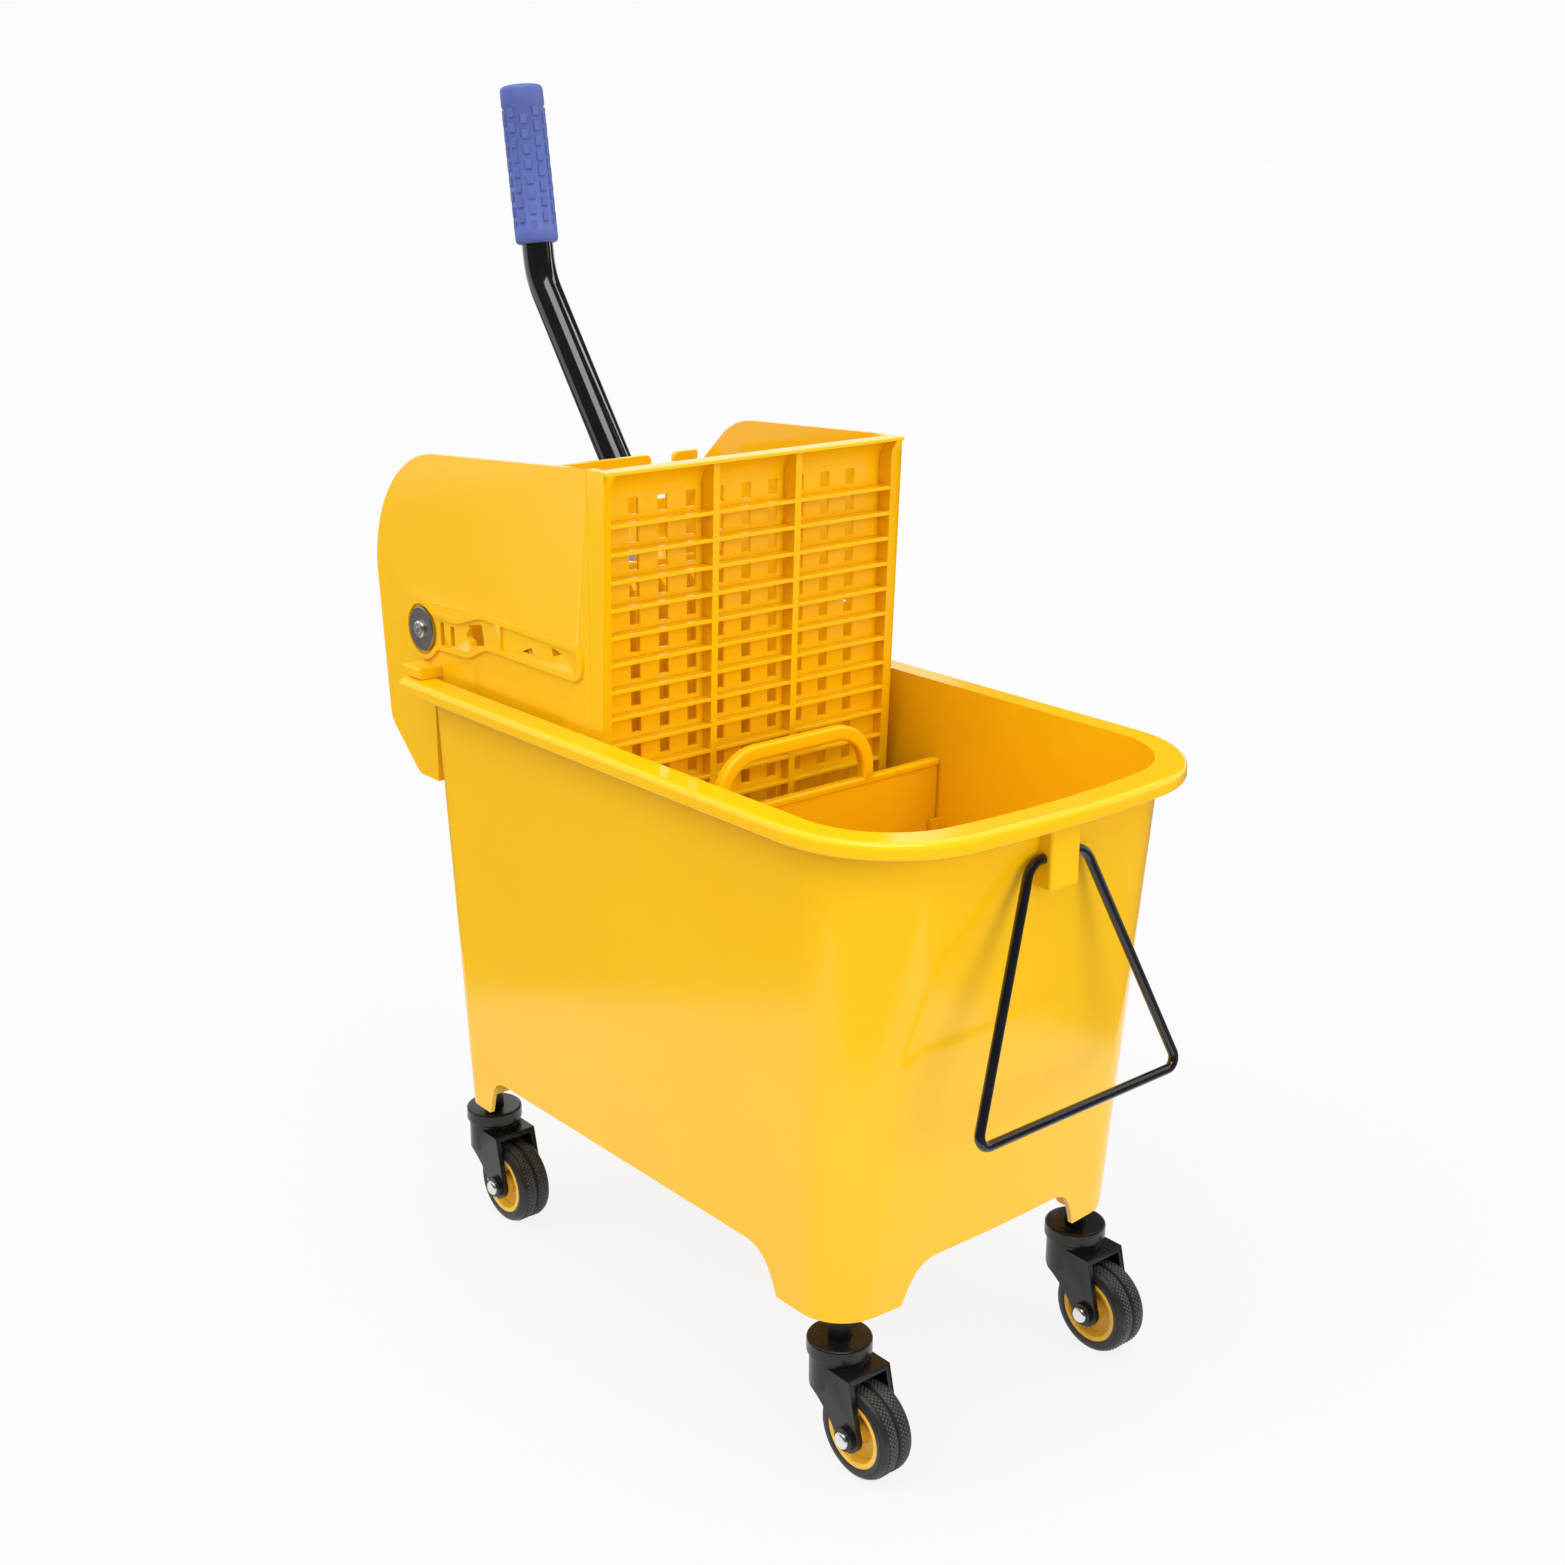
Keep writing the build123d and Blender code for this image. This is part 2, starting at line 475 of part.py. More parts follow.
def wringer_grille():
    """Front panel: a pierced web behind a frame of upright and level ribs, with a forward top lip."""
    top, foot = GRILLE_TOP[1], GRILLE_FOOT[1]
    lip_z = top - LIP_ROUND
    tip = (GRILLE_TOP[0] + LIP_PROUD, top - LIP_EDGE)
    plain = grille_side([GRILLE_FOOT, GRILLE_TOP])
    flared = grille_side([GRILLE_FOOT, (GRILLE_TOP[0], top - LIP_RISE), tip, (tip[0], top)])
    web_side = Plane.XZ * (Pos(WEB_X + WEB_T / 2, (foot + lip_z) / 2) * Rectangle(WEB_T, lip_z - foot))
    rows = [FIRST_ROW - ROW_PITCH * i for i in range(ROW_COUNT)]
    panel = extrude(web_side, CHEEK_OUT, both=True)
    for row in rows:
        for i in range(HOLE_COUNT):
            y = (i - (HOLE_COUNT - 1) / 2) * HOLE_PITCH
            panel -= Pos(WEB_X, y, row + ROW_PITCH / 2) * Box(20, HOLE_W, HOLE_H)
    slabs = Part()
    for row in [*rows, foot + LEVEL_RIB_T / 2]:
        slabs += Pos(WEB_X, 0, row) * Box(60, 2 * CHEEK_OUT, LEVEL_RIB_T)
    panel += extrude(plain, CHEEK_OUT, both=True) & slabs
    panel += extrude(Plane.XZ * lip_section(), CHEEK_OUT, both=True)
    inner_front = extrude(plain, INNER_RIB_T / 2, both=True) & Pos(0, 0, lip_z / 2 + 2) * Box(100, 100, lip_z + 4)
    outer_front = extrude(flared, OUTER_RIB_T / 2, both=True)
    for sign in (-1, 1):
        panel += Pos(0, sign * INNER_RIB_Y, 0) * inner_front
        panel += Pos(0, sign * (CHEEK_OUT - OUTER_RIB_T / 2), 0) * outer_front
    return panel


def wringer_floor():
    """Pierced bottom panel between the cheeks."""
    inner = CHEEK_OUT - CHEEK_T
    front, rear = WEB_X, CHEEK_INNER + 30.5
    panel = Pos((front + rear) / 2, 0, GRILLE_FOOT[1]) * Box(
        front - rear, 2 * inner, 4, align=(Align.CENTER, Align.CENTER, Align.MIN))
    for place in GridLocations(26, 22, 4, 9):
        panel -= Pos((front + rear) / 2, 0, GRILLE_FOOT[1]) * place * extrude(SlotOverall(18, 7), 20, both=True)
    return panel


def wringer_rear_band():
    """Cross band between the cheeks above the pivot, with a notch in front of the lever."""
    inner = CHEEK_OUT - CHEEK_T
    profile = make_face(Polyline((-inner, BAND_LOW), (inner, BAND_LOW), (inner, BAND_HIGH), (
        -inner, BAND_HIGH), close=True))
    band = profile - Pos(NOTCH_Y, BAND_HIGH) * RectangleRounded(NOTCH_W, 60, 6)
    mouth = [v for v in band.vertices() if v.Y > BAND_HIGH - 1 and abs(v.X - NOTCH_Y) < NOTCH_W]
    return extrude(Plane.YZ.offset(BAND_X) * fillet(mouth, NOTCH_ROUND), 4)


def wringer_saddle():
    """Cross piece over the bucket's rear wall, with an apron behind it."""
    inner = CHEEK_OUT - CHEEK_T
    top = Pos(-247, 0, SADDLE_Z) * Box(
        68, 2 * inner, 4, align=(Align.MIN, Align.CENTER, Align.MIN))
    apron = Pos(-200, 0, 308) * Box(4, 2 * inner, SADDLE_Z - 308, align=(Align.MIN, Align.CENTER, Align.MIN))
    brace = make_face(Polyline((-247, SADDLE_Z), (-200, SADDLE_Z), (-200, 312), close=True))
    saddle = top + apron
    for y in (-70, 0, 70):
        saddle += extrude(Plane.XZ.offset(-y) * brace, 2, both=True)
    return saddle


def lean_point(base, angle, distance):
    """Point at a distance from base along a line that leans back from the upright by angle."""
    lean = radians(angle)
    return (base[0] - distance * sin(lean), base[1] + distance * cos(lean))


def lever_route():
    """Centre line of the lever in its upright plane: foot, bend and top."""
    foot = lean_point((PIVOT_X, PIVOT_Z), LEVER_LEAN, LEVER_FOOT)
    bend = lean_point((PIVOT_X, PIVOT_Z), LEVER_LEAN, BEND_UP)
    top = lean_point(bend, GRIP_LEAN, GRIP_START + GRIP_LENGTH - 3)
    return foot, bend, top


def in_lever_plane(point):
    """Place a point of the lever's side view in space."""
    return (point[0], LEVER_Y, point[1])


def lever_axis(distance):
    """Location on the lever's lower run, with z along the tube."""
    point = in_lever_plane(lean_point((PIVOT_X, PIVOT_Z), LEVER_LEAN, distance))
    return Location(Plane(origin=point, x_dir=(0, 1, 0), z_dir=(
        -sin(radians(LEVER_LEAN)), 0, cos(radians(LEVER_LEAN)))))


def press_plate():
    """Pierced, ribbed plate hung from a hub tube, with the lever's socket on the right."""
    top_x, top_z = PRESS_TOP
    foot_x, foot_z = PRESS_FOOT
    skin = make_face(Polyline(
        (top_x, top_z), (foot_x, foot_z), (foot_x - PRESS_T, foot_z), (top_x - PRESS_T, top_z), close=True))
    web = make_face(Polyline(
        (PIVOT_X, PIVOT_Z + 6), (top_x - 3, PIVOT_Z + 6), (top_x - 2, PIVOT_Z - 6), (
            PIVOT_X, PIVOT_Z - 6), close=True))
    body = extrude(Plane.XZ * (skin + web), PRESS_HALF, both=True)
    hub = Pos(PIVOT_X, 0, PIVOT_Z) * Rot(90, 0, 0) * Cylinder(HUB_TUBE_R, 2 * PRESS_HALF)
    rib_line = make_face(Polyline(
        (top_x, top_z - 8), (top_x + 7, top_z - 16), (foot_x + 7, foot_z + 8), (foot_x, foot_z), close=True))
    for i in range(9):
        y = (i - 4) * 25.0
        body += extrude(Plane.XZ.offset(-y) * rib_line, 1.75, both=True)
    slope = degrees(atan2(foot_x - top_x, top_z - foot_z))
    for i in range(8):
        for j in range(6):
            z = foot_z + 16 + 17 * j
            x = foot_x + (top_x - foot_x) * (z - foot_z) / (top_z - foot_z)
            body -= Pos(x, (i - 3.5) * 25.0, z) * Rot(0, -slope, 0) * Box(3 * PRESS_T, 12, 7)
    socket = lever_axis(0) * Cylinder(LEVER_SOCKET_R, SOCKET_UP, align=(Align.CENTER, Align.CENTER, Align.MIN))
    body = body + hub + socket
    body -= lever_axis(LEVER_FOOT) * Cylinder(LEVER_R, 200, align=(Align.CENTER, Align.CENTER, Align.MIN))
    body -= lever_axis(28) * Rot(0, 90, 0) * Cylinder(3, 60)
    return body - Pos(PIVOT_X, 0, PIVOT_Z) * Rot(90, 0, 0) * (
        Pos(0, 0, PRESS_HALF) * Cylinder(PIVOT_BOLT_R, 2 * (PRESS_HALF - BOLT_END)) +
        Pos(0, 0, -PRESS_HALF) * Cylinder(PIVOT_BOLT_R, 2 * (PRESS_HALF - BOLT_END)))


def lever_tube():
    """Bent steel tube from the socket up to the grip."""
    path = FilletPolyline(*[in_lever_plane(p) for p in lever_route()], radius=BEND_R)
    plane = Plane(path @ 0, z_dir=path % 0)
    tube = sweep(plane * Circle(LEVER_R), path) - sweep(plane * Circle(LEVER_BORE_R), path)
    return tube - lever_axis(28) * Rot(0, 90, 0) * Cylinder(3, 60)


def lever_grip():
    """Blue sleeve with a closed, rounded top."""
    _, bend, top = lever_route()
    start = lean_point(bend, GRIP_LEAN, GRIP_START)
    place = Location(Plane(origin=in_lever_plane(start), x_dir=(0, 1, 0), z_dir=(
        -sin(radians(GRIP_LEAN)), 0, cos(radians(GRIP_LEAN)))))
    sleeve = Cylinder(GRIP_R, GRIP_LENGTH, align=(Align.CENTER, Align.CENTER, Align.MIN))
    sleeve = fillet(sleeve.edges().group_by(Axis.Z)[-1], 5)
    sleeve = fillet(sleeve.edges().group_by(Axis.Z)[0], 1.5)
    sleeve -= Cylinder(LEVER_R, GRIP_LENGTH - 3, align=(Align.CENTER, Align.CENTER, Align.MIN))
    return place * sleeve


def lever_bolt():
    """Bolt across the lever's socket."""
    shank = Cylinder(3, 2 * LEVER_SOCKET_R + 12)
    head = Pos(0, 0, -LEVER_SOCKET_R - 4) * extrude(RegularPolygon(5, 6, major_radius=False), 4)
    trim = Pos(0, 0, -LEVER_SOCKET_R - 14) * Box(20, 20, 20)
    return lever_axis(28) * Rot(0, 90, 0) * (shank - trim + head)


def lever_nut():
    """Nut on the lever's cross bolt."""
    nut = extrude(RegularPolygon(5, 6, major_radius=False), 4) - Cylinder(3, 20)
    return lever_axis(28) * Rot(0, 90, 0) * Pos(0, 0, LEVER_SOCKET_R) * nut


def pivot_bolt(sign):
    """Socket-head bolt that carries one end of the hub tube in its cheek plate."""
    out = CHEEK_OUT + FACE_GAP + WASHER_T
    shank = Cylinder(PIVOT_BOLT_R, out - BOLT_END, align=(Align.CENTER, Align.CENTER, Align.MIN))
    head = Pos(0, 0, out - BOLT_END) * Cylinder(
        PIVOT_HEAD_R, PIVOT_HEAD_T, align=(Align.CENTER, Align.CENTER, Align.MIN))
    head = fillet(head.edges().group_by(Axis.Z)[-1], 1.4)
    drive = Pos(0, 0, out - BOLT_END + 0.8) * extrude(RegularPolygon(2.0, 6, major_radius=False), 5)
    bolt = Pos(PIVOT_X, BOLT_END, PIVOT_Z) * Rot(-90, 0, 0) * (shank + head - drive)
    return bolt if sign > 0 else mirror(bolt, about=Plane.XZ)


def pivot_washer(sign):
    """Large plain washer between bolt head and cheek plate."""
    ring = Cylinder(WASHER_R, WASHER_T, align=(Align.CENTER, Align.CENTER, Align.MIN))
    ring = chamfer(ring.edges().group_by(Axis.Z)[-1], 0.6) - Cylinder(PIVOT_BOLT_R, 20)
    washer = Pos(PIVOT_X, CHEEK_OUT + FACE_GAP, PIVOT_Z) * Rot(-90, 0, 0) * ring
    return washer if sign > 0 else mirror(washer, about=Plane.XZ)


save(bucket_shell(), "bucket_shell")
casters()
save(divider(), "divider")
save(bail_wire(), "bail_wire")
for side, sign in (("left", -1), ("right", 1)):
    hang(wringer_side(sign), f"wringer_side_{side}")
    hang(pivot_bolt(sign), f"pivot_bolt_{side}")
    hang(pivot_washer(sign), f"pivot_washer_{side}")
hang(wringer_grille(), "wringer_grille")
hang(wringer_floor(), "wringer_floor")
hang(wringer_rear_band(), "wringer_rear_band")
hang(wringer_saddle(), "wringer_saddle")
hang(press_plate(), "press_plate")
hang(lever_tube(), "lever_tube")
hang(lever_grip(), "lever_grip")
hang(lever_bolt(), "lever_bolt")
hang(lever_nut(), "lever_nut")
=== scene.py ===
"""Looks of a wheeled mop bucket with a lever press wringer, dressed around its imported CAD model."""

import json
import math
from typing import NamedTuple

import bmesh
import bpy
from bpy.props import FloatProperty, FloatVectorProperty, IntProperty, PointerProperty
from mathutils import Matrix, Vector


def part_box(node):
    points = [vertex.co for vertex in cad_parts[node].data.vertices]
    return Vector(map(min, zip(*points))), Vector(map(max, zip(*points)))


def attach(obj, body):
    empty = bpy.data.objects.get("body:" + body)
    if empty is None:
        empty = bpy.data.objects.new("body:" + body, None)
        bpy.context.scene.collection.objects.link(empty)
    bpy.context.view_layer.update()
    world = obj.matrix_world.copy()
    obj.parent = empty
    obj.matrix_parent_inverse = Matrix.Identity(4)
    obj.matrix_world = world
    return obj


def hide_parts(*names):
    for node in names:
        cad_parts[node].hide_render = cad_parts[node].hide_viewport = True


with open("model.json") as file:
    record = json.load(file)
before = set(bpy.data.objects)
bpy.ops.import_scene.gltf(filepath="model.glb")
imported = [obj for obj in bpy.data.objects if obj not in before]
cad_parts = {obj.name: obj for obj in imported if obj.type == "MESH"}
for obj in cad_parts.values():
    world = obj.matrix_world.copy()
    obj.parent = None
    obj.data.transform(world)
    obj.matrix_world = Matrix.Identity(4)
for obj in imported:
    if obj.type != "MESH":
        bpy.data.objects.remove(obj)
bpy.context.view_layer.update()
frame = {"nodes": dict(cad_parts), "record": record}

bl_info = {
    "name": "Mop bucket looks",
    "version": (1, 0, 0),
    "blender": (4, 5, 0),
    "location": "View3D > Sidebar > Mop bucket",
    "description": "Dresses the packed mop bucket with moulded, rubber and metal finishes",
    "category": "Object",
}

CORNERS = ("front_left", "front_right", "rear_left", "rear_right")
SLOT_OF = {part["node"]: part["material_slot"] for part in frame["record"]["subparts"]}
BODY_OF = {
    node: body for body, nodes in frame["record"]["behaviour"]["bodies"].items() for node in nodes}
MM = 0.001
UP = Vector((0.0, 0.0, 1.0))

# Colour sockets of a Mix node, whose names its other sockets share
MIX_A, MIX_B, MIX_RESULT = 6, 7, 2

# Roundings of moulded edges
PLATE_ROUND, CASTER_ROUND = 0.7 * MM, 0.9 * MM

# Level directions of the stage: across the picture and towards the camera
ACROSS, NEAR = Vector((0.65, 0.76, 0.0)), Vector((0.76, -0.65, 0.0))


class Grain(NamedTuple):
    """Scale and share of a finish's grain and of its waves, and the depth of the bump"""

    scale: float
    share: float
    wave_scale: float
    wave_share: float
    depth: float


class Spread(NamedTuple):
    """Scale and amount of a change over a finish"""

    scale: float
    amount: float


def colour_setting(name, description, default):
    """Property for a colour."""
    return FloatVectorProperty(
        name=name, description=description, subtype="COLOR", default=default, min=0.0, max=1.0)


def length_setting(name, description, default):
    """Property for a length in metres."""
    return FloatProperty(
        name=name, description=description, unit="LENGTH", default=default, precision=4)


class FinishSettings(bpy.types.PropertyGroup):
    """Colours of the finishes"""

    yellow: colour_setting("Yellow", "Bucket, wringer and divider moulding", (0.93, 0.525, 0.004))
    hub: colour_setting("Wheel centre", "Yellow of the wheel centres", (0.92, 0.57, 0.05))
    black: colour_setting("Black moulding", "Caps, forks and stems of the casters", (0.006, 0.0056, 0.0054))
    tyre: colour_setting("Tyre", "Rubber of the tyres", (0.012, 0.012, 0.0125))
    grip: colour_setting("Grip", "Rubber sleeve on the lever", (0.092, 0.135, 0.42))
    enamel: colour_setting("Enamel", "Black coat on the lever and the carrying wire", (0.006, 0.006, 0.007))
    zinc: colour_setting("Zinc", "Bright plating on bolts and nuts", (0.86, 0.86, 0.87))
    washer: colour_setting("Washer", "Dull grey of the large washers", (0.42, 0.4, 0.39))


class GrilleSettings(bpy.types.PropertyGroup):
    """Sizes of the wringer's ribbed front panel"""

    top_front: length_setting("Front at top", "Forward face of the ribs at the top", -0.0112)
    foot_front: length_setting("Front at foot", "Forward face of the ribs at the foot", -0.0188)
    web_back: length_setting("Web", "Rear face of the pierced web", -0.025)
    web_thickness: length_setting("Web thickness", "Thickness of the pierced web", 0.0025)
    first_row: length_setting("First rib", "Height of the top level rib", 0.491)
    row_pitch: length_setting("Rib pitch", "Distance between level ribs", 0.0157)
    row_count: IntProperty(name="Ribs", description="Number of level ribs", default=18, min=1)
    level_rib: length_setting("Level rib", "Thickness of a level rib", 0.0024)
    inner_rib: length_setting("Inner upright", "Thickness of an inner upright", 0.0046)
    outer_rib: length_setting("Outer upright", "Thickness of an edge upright", 0.0064)
    inner_place: length_setting("Inner place", "Distance of the inner uprights from the middle", 0.0306)
    hole_width: length_setting("Hole width", "Width of a hole in the web", 0.0065)
    hole_height: length_setting("Hole height", "Height of a hole in the web", 0.009)
    hole_pitch: length_setting("Hole pitch", "Distance between holes in a row", 0.02025)
    hole_count: IntProperty(name="Holes", description="Number of holes in a row", default=9, min=1)
    bead: length_setting("Bead", "Rounding of the outer uprights' outer edge", 0.0022)
    edge_round: length_setting("Edge", "Rounding of the moulded edges", 0.0005)


class TyreSettings(bpy.types.PropertyGroup):
    """Sizes of the tyres"""

    bead: length_setting("Bead", "Radius where the tyre sits on the wheel centre", 0.0196)
    tread_depth: length_setting("Tread", "Height of the tread pads", 0.0005)
    pad: length_setting("Pad", "Edge of a diamond tread pad", 0.0012)
    pads_round: IntProperty(
        name="Pads", description="Tread pads round the tyre in one row", default=124, min=3)
    rows: IntProperty(name="Rows", description="Rows of tread pads on each half", default=2, min=1)
    row_step: length_setting("Row step", "Distance between rows of tread pads", 0.0026)
    first_row: length_setting("First row", "Distance of the first row from the middle", 0.0024)


class GripSettings(bpy.types.PropertyGroup):
    """Sizes of the rubber grip"""

    foot: FloatVectorProperty(
        name="Foot", description="Middle of the grip's lower end", subtype="TRANSLATION", unit="LENGTH",
        default=(-0.34908, 0.078, 0.61911), precision=5)
    lean: FloatProperty(
        name="Lean", description="Angle by which the grip leans back", subtype="ANGLE",
        default=math.radians(8.2))
    length: length_setting("Length", "Length of the sleeve", 0.1058)
    sleeve: length_setting("Sleeve", "Radius of the sleeve between its pads", 0.0140)
    over_pads: length_setting("Over pads", "Radius over the raised pads", 0.015)
    columns: IntProperty(name="Columns", description="Columns of pads round the sleeve", default=10, min=3)
    pads: IntProperty(name="Pads", description="Pads in one column", default=8, min=1)
    pitch: length_setting("Pitch", "Distance between pads in a column", 0.010)
    pad_width: length_setting("Pad width", "Width of a pad round the sleeve", 0.0045)
    pad_length: length_setting("Pad length", "Length of a pad along the sleeve", 0.0064)


class StageSettings(bpy.types.PropertyGroup):
    """Camera, floor and lamps"""

    camera_place: FloatVectorProperty(
        name="Camera", description="Place of the camera", subtype="TRANSLATION", unit="LENGTH",
        default=(0.8907, -0.7570, 0.7041))
    camera_lens: FloatProperty(
        name="Lens", description="Focal length on a 36 mm sensor", unit="CAMERA", default=47.41)
    sky: FloatProperty(name="Sky", description="Brightness of the light from all round", default=0.62)
    backdrop: FloatProperty(
        name="Backdrop", description="Brightness of the white background", default=0.972)
    floor_tone: FloatProperty(
        name="Floor", description="Brightness of the floor's surface", default=0.55)
    floor_white: FloatProperty(
        name="Floor white", description="Share of the floor that is plain white", default=0.86)
    side_lamps: FloatProperty(
        name="Sides", description="Strength of the lamps on the left and right", default=0.98)
    top_lamp: FloatProperty(name="Top", description="Strength of the lamp overhead", default=2.0)
    card_tone: FloatProperty(
        name="Cards", description="Brightness of the grey cards on the floor", default=0.10)
    flag_tone: FloatProperty(
        name="Flags", description="Brightness of the dark walls seen in gloss", default=0.05)
    softbox: FloatProperty(
        name="Softboxes", description="Brightness of the softboxes seen in gloss", default=4.6)


def settings(name):
    """One of the scene's groups of settings."""
    return getattr(bpy.context.scene, f"bucket_{name}")


def add_node(tree, kind, inputs=None, **attributes):
    """Add a node, set its attributes and fill its inputs with values or links."""
    node = tree.nodes.new(kind)
    for key, value in attributes.items():
        setattr(node, key, value)
    for key, value in (inputs or {}).items():
        socket = node.inputs[key]
        if isinstance(value, bpy.types.NodeSocket):
            tree.links.new(value, socket)
        else:
            socket.default_value = value
    return node


def new_group(name, kind, inputs, outputs):
    """New node group with named sockets; returns the tree, its input node and its output node."""
    tree = bpy.data.node_groups.new(name, kind)
    for socket, socket_type in inputs.items():
        tree.interface.new_socket(socket, in_out="INPUT", socket_type=socket_type)
    for socket, socket_type in outputs.items():
        tree.interface.new_socket(socket, in_out="OUTPUT", socket_type=socket_type)
    return tree, tree.nodes.new("NodeGroupInput"), tree.nodes.new("NodeGroupOutput")


# Shader groups that several finishes share


def drift_group():
    """Slow change of tone over a moulding, with a quicker change of gloss."""
    if "tone_drift" in bpy.data.node_groups:
        return bpy.data.node_groups["tone_drift"]
    tree, given, out = new_group("tone_drift", "ShaderNodeTree", {
        "Place": "NodeSocketVector", "Colour": "NodeSocketColor", "Deep colour": "NodeSocketColor",
        "Scale": "NodeSocketFloat", "Amount": "NodeSocketFloat",
        "Gloss": "NodeSocketFloat", "Dull": "NodeSocketFloat",
    }, {"Colour": "NodeSocketColor", "Roughness": "NodeSocketFloat"})
    slow = add_node(tree, "ShaderNodeTexNoise", {
        "Vector": given.outputs["Place"], "Scale": given.outputs["Scale"], "Detail": 3.0, "Roughness": 0.55})
    spread = add_node(tree, "ShaderNodeMapRange", {
        "Value": slow.outputs["Fac"], "From Min": 0.32, "From Max": 0.68})
    share = add_node(tree, "ShaderNodeMath", {
        0: spread.outputs["Result"], 1: given.outputs["Amount"]}, operation="MULTIPLY")
    mix = add_node(tree, "ShaderNodeMix", {
        "Factor": share.outputs[0], MIX_A: given.outputs["Colour"],
        MIX_B: given.outputs["Deep colour"]}, data_type="RGBA")
    quick = add_node(tree, "ShaderNodeTexNoise", {
        "Vector": given.outputs["Place"], "Scale": 46.0, "Detail": 4.0, "Roughness": 0.6})
    gloss = add_node(tree, "ShaderNodeMapRange", {
        "Value": quick.outputs["Fac"], "From Min": 0.3, "From Max": 0.7,
        "To Min": given.outputs["Gloss"], "To Max": given.outputs["Dull"]})
    tree.links.new(mix.outputs[MIX_RESULT], out.inputs["Colour"])
    tree.links.new(gloss.outputs["Result"], out.inputs["Roughness"])
    return tree


def grain_group():
    """Fine moulded grain on top of a slow waviness, as a height."""
    if "surface_grain" in bpy.data.node_groups:
        return bpy.data.node_groups["surface_grain"]
    tree, given, out = new_group("surface_grain", "ShaderNodeTree", {
        "Place": "NodeSocketVector", "Grain scale": "NodeSocketFloat", "Grain": "NodeSocketFloat",
        "Wave scale": "NodeSocketFloat", "Wave": "NodeSocketFloat",
    }, {"Height": "NodeSocketFloat"})
    grain = add_node(tree, "ShaderNodeTexNoise", {
        "Vector": given.outputs["Place"], "Scale": given.outputs["Grain scale"], "Detail": 2.0})
    wave = add_node(tree, "ShaderNodeTexNoise", {
        "Vector": given.outputs["Place"], "Scale": given.outputs["Wave scale"], "Detail": 1.0})
    fine = add_node(tree, "ShaderNodeMath", {
        0: grain.outputs["Fac"], 1: given.outputs["Grain"]}, operation="MULTIPLY")
    total = add_node(tree, "ShaderNodeMath", {
        0: wave.outputs["Fac"], 1: given.outputs["Wave"], 2: fine.outputs[0]}, operation="MULTIPLY_ADD")
    tree.links.new(total.outputs[0], out.inputs["Height"])
    return tree


def scuff_group():
    """Short faint strokes in two directions, as a mask."""
    if "faint_scuffs" in bpy.data.node_groups:
        return bpy.data.node_groups["faint_scuffs"]
    tree, given, out = new_group("faint_scuffs", "ShaderNodeTree", {
        "Place": "NodeSocketVector", "Scale": "NodeSocketFloat", "Amount": "NodeSocketFloat",
    }, {"Mask": "NodeSocketFloat"})
    masks = []
    for turn, stretch in ((0.5, (1.0, 14.0, 3.0)), (-0.7, (9.0, 1.2, 12.0))):
        lay = add_node(tree, "ShaderNodeMapping", {
            "Vector": given.outputs["Place"], "Rotation": (0.3, turn, turn), "Scale": stretch})
        strokes = add_node(tree, "ShaderNodeTexNoise", {
            "Vector": lay.outputs[0], "Scale": given.outputs["Scale"], "Detail": 5.0, "Roughness": 0.7})
        masks.append(add_node(tree, "ShaderNodeMapRange", {
            "Value": strokes.outputs["Fac"], "From Min": 0.62, "From Max": 0.78}).outputs["Result"])
    both = add_node(tree, "ShaderNodeMath", {0: masks[0], 1: masks[1]}, operation="MAXIMUM")
    scaled = add_node(tree, "ShaderNodeMath", {
        0: both.outputs[0], 1: given.outputs["Amount"]}, operation="MULTIPLY")
    tree.links.new(scaled.outputs[0], out.inputs["Mask"])
    return tree


# Finishes


def new_material(name):
    """New material with nodes, and its Principled shader."""
    material = bpy.data.materials.new(name)
    material.use_nodes = True
    return material, material.node_tree.nodes["Principled BSDF"]


def opaque(colour):
    """A colour with full alpha."""
    return (*colour, 1.0)


def toned(colour, gain):
    """A colour made darker or lighter."""
    return opaque([min(c * g, 1.0) for c, g in zip(colour, gain)])


